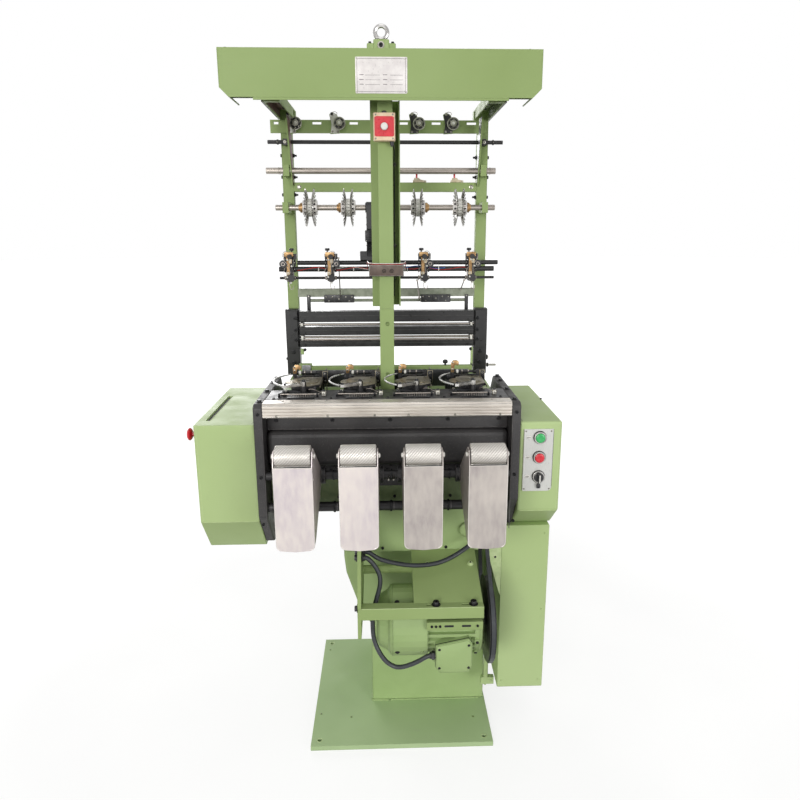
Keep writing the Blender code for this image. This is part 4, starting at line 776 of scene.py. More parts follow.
def dressColumn():
    look = columnLook
    bm = newShape()
    paint, zinc, black, dark = range(4)
    for side in (-1, 1):
        x = side * (look["half"] - 0.0012)
        addLine(bm, "Z", (1.0625, look["top"]), (x, look["front"] + 0.0011), 0.0013, paint, 8, 5)
        addLine(bm, "Z", (look["foot"] + 0.002, 1.94), (side * 0.0424, 0.0642), 0.0011, paint, 8, 5)
    addBlock(bm, (-0.0205, 0.0152, look["foot"] - 0.004), (0.0205, 0.0146, look["foot"] - 0.0005), 0.0002,
             paint)
    for low, high in ((1.3402, 1.3435), (1.937, 1.9405)):
        addBlock(bm, (-0.0428, 0.0618, low), (-0.0222, 0.0632, high), 0.0004, paint)
    for z in (1.763, 1.523):
        addScrew(bm, (look["gapX"], look["gapBack"], z), ahead, 0.0042, "dome", zinc, dark, washer=0.0058)
    wire = [(0.02, 0.004, 1.8165), (0.0255, 0.016, 1.806), (0.0262, 0.06, 1.795), (0.0258, 0.072, 1.76)]
    wire += [(0.0258 + 0.0012 * math.sin(z * 31), 0.074, z) for z in along(1.72, 1.37, 9)]
    addTube(bm, smoothRoute(wire), 0.0016, black, 6)
    for z in (1.7, 1.56, 1.42):
        addRing(bm, (0.0258, 0.074, z), up, 0.0016, 0.0026, 0.003, 3, 10)
    for z in (1.1325, 1.291):
        addRing(bm, (0.002, look["front"] + 0.0003, z), ahead, 0.0058, 0.0072, 0.0005, paint, 24)
    makePiece("columnTrim", bm, "paint zinc blackPlastic darkHollow")


dressColumn()


# Emergency stop on the column: cream plate, red square with a hole, screws, knob and gland
stopLook = {"x": -0.002, "z": 1.8535, "front": -0.0153, "half": (0.0296, 0.0366), "red": (0.0275, 0.0268),
            "button": 0.0108}


def dressStopBox():
    look = stopLook
    bm = newShape()
    cream, red, zinc, dark, black = range(5)
    x, z, y = look["x"], look["z"], look["front"]
    addHoledPlate(bm, (x, z), look["half"], 0.004, look["button"], y - 0.0016, y + 0.0004, cream)
    addHoledPlate(bm, (x, z + 0.0005), look["red"], 0.0016, look["button"], y - 0.003, y - 0.0014, red)
    addRing(bm, (x, y - 0.0029, z), ahead, look["button"], 0.0142, 0.0014, red, 32)
    for u in (-0.0242, 0.0242):
        for v in (-0.0318, 0.0318):
            addScrew(bm, (x + u, y - 0.0015, z + v), ahead, 0.0026, "cross", zinc, dark)
    addBlock(bm, (x - 0.0302, y + 0.009, z - 0.0372), (x + 0.0302, y + 0.0105, z + 0.0372), 0.0004, cream)
    addTurned(bm, (x, 0.0, z + 0.0378), up, [(0, 0), (0, 0.0062), (0.0015, 0.0068), (0.005, 0.0068),
            (0.0065, 0.005), (0.0068, 0)], black, 20)
    for shift, radius in ((0.0, 0.0062), (-0.005, 0.0052), (-0.0085, 0.0036)):
        addTurned(bm, (x + 0.021, 0.002, z - 0.0378 + shift), down,
                  [(0, 0), (0, radius), (0.0042, radius), (0.005, radius * 0.8), (0.005, 0)], black, 12)
    makePiece("stopBoxFace", bm, "cream red zinc darkHollow blackPlastic")
    bm = newShape()
    addTurned(bm, (x, y - 0.0098, z), ahead, [(0, 0), (0, 0.0098), (0.0006, 0.0098), (0.0012, 0.009),
            (0.0016, 0.005), (0.0014, 0)], 0, 28)
    makePiece("stopButtonCap", bm, "white", "stop_button_top")


dressStopBox()
print("column and stop box dressed")


# Top arms and uprights: painted shade under the arms and on the gussets' inner faces, rubber strips and bolts
armLook = {"in": 0.3095, "out": 0.3505, "low": 1.9362, "high": 1.9616, "start": 0.0965, "end": 0.381,
           "wall": 0.0012}
# outline of the painted shade on each gusset's inner face
gussetShadeOutline = [(0.3165, 1.933), (0.383, 1.933), (0.383, 1.884), (0.4185, 1.884), (0.4185, 1.722),
               (0.4095, 1.722)]
uprightBolts = {-1: (1.82, 1.749, 1.69), 1: (1.8145, 1.749, 1.682)}


def dressArms():
    look = armLook
    for side, shadeSheet, sheet in ((-1, "shadeBrown", "shadeBrown"), (1, "olive", "greySheet")):
        bm = newShape()
        undersideShade, plate, black, bolt, dark, paint = range(6)
        a, b, w = look["in"] + 0.0003, look["out"] - 0.0003, look["wall"]
        profile = [(a, look["low"]), (a + w, look["low"]), (a + w, look["high"] - w),
                   (b - w, look["high"] - w),
                   (b - w, look["low"]), (b, look["low"]), (b, look["high"]), (a, look["high"])]
        # painted shade: a thin channel lining the open underside of each arm
        addPlate(bm, "Y", [(side * u, v) for u, v in profile], look["start"], look["end"], undersideShade, 0.0003)
        for y in (0.15, 0.25, 0.34):
            addScrew(bm, (side * 0.33, y, look["high"] - w), down, 0.0045, "hex", bolt, dark, washer=0.007)
        x = side * 0.319
        # painted shade on the gusset's inner face; its screws take the same colour
        addPlate(bm, "X", gussetShadeOutline, x, x - side * 0.0009, plate, 0.0002)
        for y, z in ((0.345, 1.924), (0.372, 1.894), (0.405, 1.862), (0.4135, 1.745)):
            addScrew(bm, (x - side * 0.0008, y, z), (-side, 0, 0), 0.0034, "dome", plate, dark)
        strip = [(side * 0.3554, 1.9345), (side * 0.3606, 1.9345), (side * 0.3606, 1.9515),
                 (side * 0.3554, 1.9515)]
        addPlate(bm, "Y", strip, 0.082, 0.455, black, 0.0009)
        for y in (0.1, 0.22, 0.34, 0.43):
            addScrew(bm, (side * 0.3604, y, 1.943), (side, 0, 0), 0.0036, "dome", bolt, dark)
        for z in uprightBolts[side]:
            foot = Vector((side * 0.319, 0.4335, z))
            addRod(bm, foot, foot - Vector((side * 0.0135, 0, 0)), 0.0034, bolt, 12, 0.0006)
            addScrew(bm, foot, (-side, 0, 0), 0.0066, "hex", bolt, dark, washer=0.0078)
            addScrew(bm, foot + Vector((side * 0.0362, 0, 0)), (side, 0, 0), 0.0062, "hex", bolt, dark,
                     washer=0.0078)
        addLine(bm, "Z", (1.0625, 1.93), (side * 0.3544, 0.4205), 0.0012, paint, 8)
        addLine(bm, "Z", (1.0625, 1.69), (side * 0.3196, 0.4205), 0.0012, paint, 8)
        for z in (1.31, 1.45, 1.6):
            addScrew(bm, (side * 0.337, 0.4562, z), behind, 0.0055, "hex", bolt, dark, washer=0.008)
        name = "armTrimLeft" if side < 0 else "armTrimRight"
        makePiece(name, bm, f"{shadeSheet} {sheet} blackPlastic blackBolt darkHollow paint")


dressArms()

# Tension devices on the slotted rail: bracket, rimmed disc, nut, spring and thumb nut
devices = {"x": (-0.313, -0.166, 0.104, 0.22), "z": 1.92, "face": 0.3957, "boss": 0.3877, "plate": 0.4097}


def dressDevices():
    for number, x in enumerate(devices["x"], 1):
        bm = newShape()
        bracket, rim, dark, hub, black = range(5)
        z, y = devices["z"], devices["plate"]
        shape = [(x - 0.0185, z - 0.03), (x + 0.0105, z - 0.0285), (x + 0.0145, z), (x + 0.003, z + 0.0285),
                 (x - 0.0115, z + 0.0365), (x - 0.0205, z + 0.029), (x - 0.0145, z)]
        addPlate(bm, "Y", roundCorners(shape, 0.003, 3), y - 0.0012, y + 0.0002, bracket, 0.0003)
        for u, v, r in ((-0.0125, 0.03, 0.0028), (-0.012, -0.0245, 0.0026), (0.006, -0.0245, 0.0022)):
            addScrew(bm, (x + u, y - 0.001, z + v), ahead, r + 0.0012, "slot", rim, dark)
        cx = x + 0.012
        addRing(bm, (cx, devices["face"] + 0.0012, z), ahead, 0.0172, 0.0212, 0.0024, rim, 36)
        addRing(bm, (cx, devices["face"] + 0.0003, z), ahead, 0.0078, 0.0176, 0.0019, black, 32)
        for a in map(math.radians, range(20, 380, 60)):
            spot = (cx + 0.0135 * math.cos(a), devices["face"] - 0.0015, z + 0.0135 * math.sin(a))
            addRing(bm, spot, ahead, 0.0016, 0.0026, 0.0004, rim, 10)
        addRing(bm, (cx, devices["face"] + 0.0194, z), ahead, 0.0135, 0.015, 0.0035, rim, 28)
        addSpring(bm, (cx, devices["face"] - 0.0002, z), (cx, devices["boss"] + 0.0008, z), 0.0092, 0.0008, 3,
                  rim)
        addTurned(bm, (cx, devices["boss"], z), ahead,
                  [(0, 0), (0, 0.0098), (0.001, 0.0106), (0.0035, 0.0106), (0.0045, 0.0096),
                   (0.0045, 0.0052)], rim, 24)
        addTurned(bm, (cx, devices["boss"] - 0.0043, z), ahead,
                  [(0, 0.0052), (0.0002, 0.0044), (0.0022, 0.0044), (0.003, 0.0034), (0.003, 0)], hub, 16)
        post = (x - 0.0125, y - 0.001, z + 0.03)
        addRod(bm, post, (post[0], post[1] - 0.012, post[2]), 0.0022, rim, 10, 0.0004)
        addTurned(bm, (post[0], post[1] - 0.012, post[2]), ahead,
                  [(0, 0), (0, 0.0042), (0.001, 0.0048), (0.004, 0.0048), (0.005, 0.0036), (0.005, 0)],
                  black if number < 3 else rim, 14)
        eye = smoothRoute([(x - 0.0125, y - 0.006, z + 0.034), (x - 0.006, y - 0.01, z + 0.0375),
                           (x + 0.002, y - 0.014, z + 0.036),
                           (x + 0.0065, y - 0.018, z + 0.031), (x + 0.004, y - 0.02, z + 0.0255),
                           (x - 0.002, y - 0.02, z + 0.026)])
        addTube(bm, eye, 0.001, rim, 6)
        addRod(bm, (x - 0.006, 0.42, z), (x - 0.006, 0.4262, z), 0.0045, rim, 6, 0.0006)
        addScrew(bm, (x - 0.006, 0.42, z), behind, 0.0058, "hex", rim, dark, washer=0.0075)
        plate = "white" if number < 3 else "blackSteel"
        makePiece(f"tensionDevice{number}", bm, plate + " zinc darkHollow white blackSteel")


dressDevices()


# Crossbar: wing blocks with red pins under the guide roller, and end screws
def dressCrossbar():
    bm = newShape()
    cream, red, zinc, dark = range(4)
    for x0, x1, pin in ((0.0955, 0.1426, 0.109), (0.2267, 0.2723, 0.241)):
        y0, y1, z = 0.421, 0.437, 1.7314
        shape = [(x0, z), (x1, z), (x1, z + 0.006), (pin + 0.012, z + 0.009), (pin + 0.008, z + 0.015),
                 (pin - 0.008, z + 0.015), (pin - 0.01, z + 0.008), (x0, z + 0.006)]
        addPlate(bm, "Y", shape, y0, y1, cream, 0.0008)
        addRod(bm, (pin, 0.4285, z + 0.014), (pin, 0.4285, z + 0.046), 0.0034, red, 14, 0.0008)
        addRing(bm, (pin, 0.4285, z + 0.03), up, 0.0034, 0.0052, 0.004, zinc, 14)
        for u in (x0 + 0.005, x1 - 0.006):
            addScrew(bm, (u, 0.429, z + 0.006), up, 0.0028, "cross", zinc, dark)
            addScrew(bm, (u, y0, z + 0.003), ahead, 0.0016, "dome", zinc, dark)
    for x in (-0.3, 0.3):
        addScrew(bm, (x, 0.42, 1.7155), ahead, 0.005, "hex", zinc, dark, washer=0.0075)
    makePiece("crossbarGuides", bm, "ceramic red zinc darkHollow")


dressCrossbar()

# Feeder shaft with its four wire wheels
feed = {"y": 0.34, "z": 1.644, "r": 0.0095, "half": 0.372, "wheels": (-0.2555, -0.127, 0.109, 0.251),
        "fingers": 26,
        "inner": 0.03, "outer": 0.0618, "wire": 0.0011}


def wireCrown(bm, x, side, mat):
    points = []
    fingers = feed["fingers"]
    for i in range(fingers):
        middle = 2 * math.pi * i / fingers
        step = 2 * math.pi / fingers
        for share, reach in ((-0.46, 0.0), (-0.3, 0.35), (-0.22, 0.8), (-0.12, 1.0), (0.12, 1.0), (0.22, 0.8),
                             (0.3, 0.35), (0.46, 0.0)):
            r = feed["inner"] + (feed["outer"] - feed["inner"]) * reach
            a = middle + share * step
            points.append((x + side * (0.0085 + 0.0062 * reach ** 2), feed["y"] + r * math.cos(a),
                           feed["z"] + r * math.sin(a)))
    addTube(bm, points, feed["wire"], mat, 6, closed=True)


def makeFeeder():
    bm = newShape()
    shaft, wire, drum, brass, dark, white = range(6)
    y, z = feed["y"], feed["z"]
    addRod(bm, (-feed["half"], y, z), (feed["half"], y, z), feed["r"], shaft, 32, 0.0012)
    for number, x in enumerate(feed["wheels"]):
        outward = -1 if number < 2 else 1
        for side in (-1, 1):
            wireCrown(bm, x, side, wire)
            profile = [(0, feed["r"]), (0, 0.0235), (0.0014, 0.024), (0.015, 0.024), (0.0165, 0.0228),
                       (0.0165, feed["r"])]
            addTurned(bm, (x + side * 0.0078, y, z), (side, 0, 0), profile, drum, 36)
            dish = [(0, 0.0232), (0.0004, 0.03), (0.0022, 0.0345), (0.003, 0.0345), (0.0014, 0.03),
                    (0.001, 0.0232)]
            addTurned(bm, (x + side * 0.0072, y, z), (side, 0, 0), dish, wire, 40)
            for turn in range(9, 369, 36):
                out = radial(turn)
                spot = Vector((x + side * 0.0165, y, z)) + out * 0.0238
                addTurned(bm, spot, out, [(0.0001, 0.0032), (0.0004, 0.0036), (0.0004, 0.0024), (0.0002, 0)],
                          dark, 12)
        addTurned(bm, (x - 0.0072, y, z), toRight, [(0, feed["r"]), (0, 0.029), (0.0144, 0.029),
                (0.0144, feed["r"])], white, 36)
        for turn in range(18):
            a = math.radians(20 * turn)
            spot = Vector((x - 0.0066, y + 0.0288 * math.cos(a), z + 0.0288 * math.sin(a)))
            addRod(bm, spot, spot + Vector((0.0132, 0, 0)), 0.0011, wire, 6)
        start = x + outward * 0.0248
        rows = [(0, feed["r"]), (0, 0.015), (0.0008, 0.0158), (0.0082, 0.0158), (0.009, 0.015),
                (0.009, 0.0118), (0.0135, 0.0112), (0.0135, feed["r"])]
        addTurned(bm, (start, y, z), (outward, 0, 0), rows, brass, 28)
        for turn in (-115, 65):
            out = radial(turn)
            addScrew(bm, Vector((start + outward * 0.0045, y, z)) + out * 0.0154, out, 0.0022, "socket", dark,
                     dark)
    piece = makePiece("wireWheelShaft", bm, "shaftSteel chrome plateWhite brass darkHollow white",
                      "feeder_shaft")
    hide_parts("feeder_shaft")


makeFeeder()


# Feed drive: arm ribs, bright screws and the small ribbed motor block
def dressFeedDrive():
    bm = newShape()
    black, zinc, dark, blue = range(4)
    shape = oblong((-0.0705, 1.5315), (-0.0425, 1.57), 0.004, 4)
    addPlate(bm, "Y", shape, 0.2975, 0.3098, blue, 0.0012)
    for z in along(1.537, 1.5645, 6):
        addBlock(bm, (-0.069, 0.2966, z - 0.001), (-0.044, 0.298, z + 0.001), 0.0004, black)
    for x in (-0.0675, -0.0455):
        for z in (1.5345, 1.567):
            addScrew(bm, (x, 0.2976, z), ahead, 0.0019, "cross", zinc, dark)
    for y, z in ((0.325, 1.628), (0.352, 1.612), (0.346, 1.588), (0.33, 1.56), (0.322, 1.52), (0.312, 1.5),
                 (0.296, 1.486)):
        addScrew(bm, (-0.0662, y, z), toLeft, 0.0028, "dome", zinc, dark)
        addScrew(bm, (-0.0468, y, z), toRight, 0.0028, "dome", zinc, dark)
    for z in (1.604, 1.586, 1.511, 1.494):
        addScrew(bm, (-0.0565, 0.3245 if z > 1.55 else 0.3125, z), ahead, 0.0022, "dome", zinc, dark)
    addRing(bm, (-0.0664, 0.34, 1.644), toLeft, 0.01, 0.0165, 0.003, black, 28)
    makePiece("feedDriveTrim", bm, "blackPlastic zinc darkHollow blackBolt")


dressFeedDrive()


# Guide roller and warp rod: end grooves, bands, collars and screws
def dressRods():
    bm = newShape()
    steel, dark = range(2)
    for x in (-0.4066, 0.3796):
        addTurned(bm, (x, 0.398, 1.7675), (1 if x > 0 else -1, 0, 0),
                  [(0, 0), (0, 0.0078), (0.0003, 0.0078), (0.0003, 0.0034), (-0.0012, 0.003), (-0.0012, 0)],
                  dark, 20)
    for x in (-0.365, -0.3605, 0.3605):
        addRing(bm, (x, 0.398, 1.7675), toRight, 0.0104, 0.012, 0.0016, steel, 28)
    makePiece("guideRollerEnds", bm, "shaftSteel darkHollow", "guide_roller")
    bm = newShape()
    for x in (-0.366, 0.366):
        addRing(bm, (x, 0.395, 1.86), toRight, 0.0064, 0.0086, 0.0055, 0, 20)
        addScrew(bm, (x + 0.00275, 0.3868, 1.86), ahead, 0.0014, "socket", 1, 2)
    for side in (-1, 1):
        addScrew(bm, (side * 0.337, 0.3858, 1.86), ahead, 0.0042, "socket", 1, 2, washer=0.006)
    makePiece("warpRodCollars", bm, "blackSteel zinc darkHollow")


dressRods()
print("upper frame dressed")


# Detector rack: four stations of brass and ceramic guides, cable ties, thin wires and the clamp's face
rack = {"y": 0.29, "bars": (1.463, 1.442, 1.4125), "stations": (-0.325, -0.188, 0.127, 0.288), "front": 0.272,
        "ties": (-0.2285, -0.1106, -0.058, -0.05, 0.063, 0.071, 0.1775), "clampFront": 0.0017,
        "clamp": (0.0508, 1.4368, 1.4682)}


def dressStation(bm, x, side):
    brass, cream, steel, black, dark, white = range(6)
    y = rack["front"]
    strip = [(x - 0.0085, 1.404), (x + 0.0015, 1.404), (x + 0.0015, 1.476), (x + 0.005, 1.482),
             (x - 0.0105, 1.482), (x - 0.0085, 1.474)]
    addPlate(bm, "Y", strip, y - 0.0024, y - 0.0002, brass, 0.0004)
    addPlate(bm, "Y", oblong((x - 0.0165, 1.4835), (x + 0.014, 1.4985), 0.003, 3), y + 0.0008, y + 0.0058,
             brass, 0.0006)
    for u, v, w, h in ((0.004, 1.469, 0.0055, 0.0075), (-0.0045, 1.429, 0.006, 0.0055),
                       (0.005, 1.4085, 0.0045, 0.006)):
        shape = oblong((x + u - w, v - h), (x + u + w, v + h), 0.002, 3)
        addPlate(bm, "Y", shape, y - 0.0062, y - 0.0018, cream, 0.0008)
        addRing(bm, (x + u, y - 0.0062, v), ahead, 0.0012, 0.0026, 0.0012, steel, 14)
    for u, v, long in ((-0.004, 1.474, 0.013), (0.009, 1.453, 0.01), (-0.007, 1.417, 0.012),
                       (0.004, 1.398, 0.008)):
        addRod(bm, (x + u, y - 0.001, v), (x + u, y - long, v), 0.0014, steel, 10, 0.0003)
        addTurned(bm, (x + u, y - long, v), ahead, [(0, 0), (0, 0.0028), (0.0012, 0.0032), (0.003, 0.003),
                (0.0042, 0.0016), (0.0044, 0)], white, 12)
    spot = (x + 0.0205 * side, y - 0.001, 1.46)
    addTurned(bm, spot, ahead, [(0, 0), (0, 0.0125), (0.0018, 0.013), (0.002, 0.0085), (0.0048, 0.008),
                                (0.005, 0.0125), (0.0068, 0.012), (0.007, 0.0045), (0.01, 0.004),
                                (0.0102, 0)], black, 24)
    addRing(bm, (spot[0], y - 0.0082, spot[2]), ahead, 0.004, 0.0062, 0.0008, steel, 18)
    knob = (x - 0.009 * side, y + 0.004, 1.499)
    addTurned(bm, knob, up, [(0, 0), (0, 0.0026), (0.004, 0.0026), (0.0045, 0.0066), (0.0065, 0.0078),
                             (0.011, 0.0078), (0.0125, 0.0064), (0.0128, 0)], black, 18)
    route = [(x + 0.002, y - 0.003, 1.5), (x + 0.013 * side, y - 0.008, 1.503),
             (x + 0.02 * side, y - 0.014, 1.492),
             (x + 0.017 * side, y - 0.018, 1.476), (x + 0.006 * side, y - 0.02, 1.464),
             (x + 0.002, y - 0.019, 1.446), (x + 0.005, y - 0.016, 1.43)]
    addTube(bm, smoothRoute(route), 0.0008, steel, 6)
    route = [(x - 0.006, y - 0.004, 1.452), (x - 0.015, y - 0.012, 1.447), (x - 0.019, y - 0.014, 1.43),
             (x - 0.013, y - 0.013, 1.411), (x - 0.003, y - 0.01, 1.403), (x + 0.004, y - 0.008, 1.396)]
    addTube(bm, smoothRoute(route), 0.0008, steel, 6)
    drop = [(x + 0.001, y - 0.004, 1.403), (x - 0.002, y - 0.006, 1.386), (x + 0.004, y - 0.006, 1.374),
            (x + 0.011, y - 0.006, 1.378), (x + 0.012, y - 0.006, 1.388)]
    addTube(bm, smoothRoute(drop), 0.0011, steel, 8)
    addSpring(bm, (x + 0.0115, y - 0.002, 1.405), (x + 0.0115, y - 0.002, 1.44), 0.0022, 0.0005, 8, steel)
    for turn, (z, r) in enumerate(zip(rack["bars"], (0.0078, 0.0088, 0.0048))):
        for u in (-0.0165, 0.0165):
            addRing(bm, (x + u - 0.0025, rack["y"], z), toRight, r - 0.0003, r + 0.0024, 0.005,
                    steel if turn == 2 else black, 20)
            addScrew(bm, (x + u, rack["y"] - r - 0.0021, z), ahead, 0.0013, "socket", steel, dark)


def dressRack():
    for number, x in enumerate(rack["stations"], 1):
        bm = newShape()
        dressStation(bm, x, -1 if number == 1 else 1)
        makePiece(f"threadGuide{number}", bm, "brass ceramic shaftSteel blackPlastic darkHollow white")
    bm = newShape()
    white, red, steel, brown, dark, blue = range(6)
    top, low, thin = rack["bars"]
    for x in rack["ties"]:
        addRing(bm, (x - 0.0013, rack["y"], low), toRight, 0.0083, 0.0099, 0.0026, white, 20)
        addBlock(bm, (x - 0.0018, rack["y"] - 0.0128, low - 0.0035),
                 (x + 0.0018, rack["y"] - 0.009, low + 0.001), 0.0005, white)
        addBlock(bm, (x - 0.0012, rack["y"] - 0.0122, low - 0.0105),
                 (x + 0.0012, rack["y"] - 0.0114, low - 0.003), 0.0002, white)
    for one, two, level, mat, phase in ((-0.3, -0.062, 0.001, red, 0.0), (-0.18, -0.056, 0.0038, white, 1.1),
                                        (0.06, 0.118, 0.004, red, 0.6), (0.14, 0.282, 0.001, red, 2.0),
                                        (0.066, 0.2, 0.0056, blue, 2.9)):
        route = [(x, rack["y"] - 0.0086 - 0.0008 * math.cos(x * 60),
                  low + level + 0.0046 * math.sin(x * 47 + phase)) for x in along(one, two, 15)]
        addTube(bm, route, 0.0012, mat, 6)
    for shift, mat in ((0.0, red), (0.0026, white)):
        over = [(-0.064, 0.276, low + 0.006), (-0.062, 0.2, 1.47 + shift), (-0.058, 0.08, 1.4725 + shift),
                (-0.05, 0.012, 1.4715 + shift), (-0.03, 0.0075, 1.4702 + shift),
                (0.0, 0.0085, 1.47 + shift), (0.034, 0.0075, 1.4702 + shift), (0.052, 0.014, 1.4712 + shift),
                (0.06, 0.08, 1.4722 + shift), (0.062, 0.2, 1.468 + shift), (0.064, 0.276, low + 0.006)]
        addTube(bm, smoothRoute(over), 0.0012, mat, 6)
    half, z0, z1 = rack["clamp"]
    face = oblong((-half, z0), (half, z1), 0.004, 3)
    addPlate(bm, "Y", face, rack["clampFront"] - 0.0012, rack["clampFront"] + 0.0002, brown, 0.0005)
    for x in (-0.0069, 0.0152):
        addRing(bm, (x, rack["clampFront"] - 0.001, 1.4513), ahead, 0.0035, 0.0058, 0.0006, dark, 20)
        addScrew(bm, (x, rack["clampFront"] - 0.001, 1.4513), ahead, 0.0042, "socket", brown, dark)
    for one, two in (((-0.1605, 0.276, 1.479), (-0.166, 0.407, 1.3335)),
                     ((0.1046, 0.277, 1.404), (0.1177, 0.4065, 1.333)),
                     ((0.2648, 0.277, 1.404), (0.2687, 0.42, 1.361))):
        addRod(bm, one, two, 0.0021, steel, 10)
        for spot in (one, two):
            addTurned(bm, Vector(spot) + Vector((0, 0, 0.003)), down,
                      [(0, 0), (0, 0.0036), (0.0055, 0.0036), (0.006, 0.003), (0.006, 0)], steel, 12)
    for x, z, r in ((-0.2998, top, 0.0075), (0.3788, top, 0.0075), (-0.3618, low, 0.0085),
                    (0.3658, low, 0.0085), (-0.3608, thin, 0.0045), (0.3668, thin, 0.0045)):
        addRing(bm, (x, rack["y"], z), (1 if x > 0 else -1, 0, 0), r * 0.5, r * 0.92, 0.0006, steel, 20)
    makePiece("rackWiring", bm, "white redWire shaftSteel brownBlack darkHollow blueWire")


dressRack()


# Lease bar: black guide blocks and links over the plain ones, and their screws
def dressLease():
    bm = newShape()
    black, zinc, dark, steel = range(4)
    for x in (-0.171, 0.177):
        shape = oblong((x - 0.0535, 1.3165), (x + 0.0535, 1.3445), 0.003, 3)
        addPlate(bm, "Y", shape, 0.4046, 0.4063, black, 0.0005)
        addPlate(bm, "Y", oblong((x - 0.012, 1.32), (x + 0.012, 1.3415), 0.002, 3), 0.4026, 0.4048, black,
                 0.0005)
        for u in (-0.046, -0.024, 0.024, 0.046):
            addScrew(bm, (x + u, 0.4048, 1.337), ahead, 0.0026, "slot", zinc, dark)
        for u in (-0.036, 0.036):
            addScrew(bm, (x + u, 0.4048, 1.3225), ahead, 0.0021, "socket", zinc, dark)
        addScrew(bm, (x, 0.4028, 1.3308), ahead, 0.0034, "cross", zinc, dark)
        for u in (-0.0545, 0.052):
            addRing(bm, (x + u, 0.423, 1.323), toRight, 0.0054, 0.0082, 0.0028, zinc, 18)
    for x in (-0.281, 0.29):
        shape = [(x - 0.0064, 1.2785), (x + 0.0064, 1.2785), (x + 0.0064, 1.3435), (x - 0.0064, 1.3435)]
        addPlate(bm, "Y", roundCorners(shape, 0.002, 3), 0.4156, 0.4168, black, 0.0004)
        for z in (1.285, 1.3385):
            addScrew(bm, (x, 0.4158, z), ahead, 0.0026, "hex", zinc, dark)
    # painted highlight: a grey bead along the lease bar's edge
    addLine(bm, "X", (-0.317, 0.317), (0.4197, 1.3648), 0.0008, steel)
    makePiece("leaseBlocks", bm, "blackPlastic zinc darkHollow edgeSteel")


dressLease()

# Harness beams and posts: bright strips, end blocks, lit edges, screws and side tabs
harness = {"front": 0.353, "strips": ((1.2435, -0.3115, 0.3115), (1.1985, -0.3065, 0.3115),
                                      (1.1885, -0.3065, 0.3115)),
           "screws": ((-0.3235, (1.268, 1.226, 1.1905)), (0.3235, (1.266, 1.225, 1.1905)))}


def dressHarness():
    postEdge = 0.3115
    rodEnd, pinEnd = (0.383, 1.118), (0.383, 1.089)
    bm = newShape()
    strip, white, lit, dark = range(4)
    for z, left, right in harness["strips"]:
        addRod(bm, (left, 0.3645, z), (right, 0.3645, z), 0.0042, strip, 16, 0.0006)
    for x0, x1 in ((-0.3065, -0.2975), (0.2985, 0.3065)):
        for z0, z1 in ((1.2375, 1.2495), (1.187, 1.2045)):
            addBlock(bm, (x0, 0.3585, z0), (x1, 0.362, z1), 0.0008, white)
    for z0, z1 in ((1.253, 1.291), (1.206, 1.236), (1.164, 1.186)):
        addLine(bm, "X", (-0.3105, 0.3105), (0.3542, z1 - 0.0014), 0.0011, lit)
        addLine(bm, "X", (-0.3105, 0.3105), (0.3536, (z0 + z1) / 2 + 0.003), 0.0009, lit)
        for x in (-0.29, -0.15, 0.0, 0.15, 0.29):
            addScrew(bm, (x, harness["front"], z0 + 0.008), ahead, 0.0024, "socket", dark, dark)
            addScrew(bm, (x, 0.401, (z0 + z1) / 2), behind, 0.0045, "hex", lit, dark, washer=0.0065)
    makePiece("harnessStrips", bm, "shaftSteel white edgeSteel darkHollow")
    bm = newShape()
    black, zinc, dark, tab, lit = range(5)
    for x, heights in harness["screws"]:
        for z in heights:
            addScrew(bm, (x, harness["front"] - 0.0001, z), ahead, 0.0048, "socket", black, dark,
                     washer=0.0066)
    for side in (-1, 1):
        for z in (1.105, 1.145):
            addScrew(bm, (side * 0.336, 0.365, z), ahead, 0.0056, "hex", black, dark, washer=0.0078)
        addLine(bm, "Z", (1.064, 1.155), (side * 0.3132, 0.3658), 0.001, lit)
        addLine(bm, "Z", (1.064, 1.295), (side * 0.359, 0.3658), 0.001, lit)
    left = [(-postEdge, 1.1345), (-0.2995, 1.1345), (-0.2985, 1.156), (-postEdge, 1.156)]
    addPlate(bm, "Y", left, 0.368, 0.372, tab, 0.0006)
    addRod(bm, (-0.2945, 0.367, 1.153), (-0.2945, 0.356, 1.153), 0.0052, black, 16, 0.001)
    addRod(bm, (-0.299, 0.37, 1.153), (-0.29, 0.37, 1.153), 0.0026, zinc, 10)
    right = [(0.3035, 1.0815), (postEdge, 1.0815), (postEdge, 1.1585), (0.3035, 1.1585), (0.3005, 1.15),
             (0.3035, 1.14), (0.3035, 1.102), (0.3005, 1.092)]
    addPlate(bm, "Y", right, 0.368, 0.372, tab, 0.0006)
    for x, z in ((0.301, 1.152), (0.306, 1.092)):
        addRod(bm, (x, 0.369, z), (x, 0.357, z), 0.005, black, 16, 0.001)
    addRod(bm, (0.36, *pinEnd), (0.398, *pinEnd), 0.004, zinc, 16, 0.0008)
    addRing(bm, (0.364, *pinEnd), toRight, 0.004, 0.0076, 0.006, black, 18)
    addRing(bm, (0.36, *rodEnd), toRight, 0.0045, 0.009, 0.007, black, 22)
    addScrew(bm, (0.364, *rodEnd), toRight, 0.0055, "socket", zinc, dark)
    addScrew(bm, (-0.36, *rodEnd), toLeft, 0.0055, "hex", black, dark, washer=0.008)
    makePiece("harnessFittings", bm, "blackBolt zinc darkHollow coverPaint edgeSteel")


dressHarness()


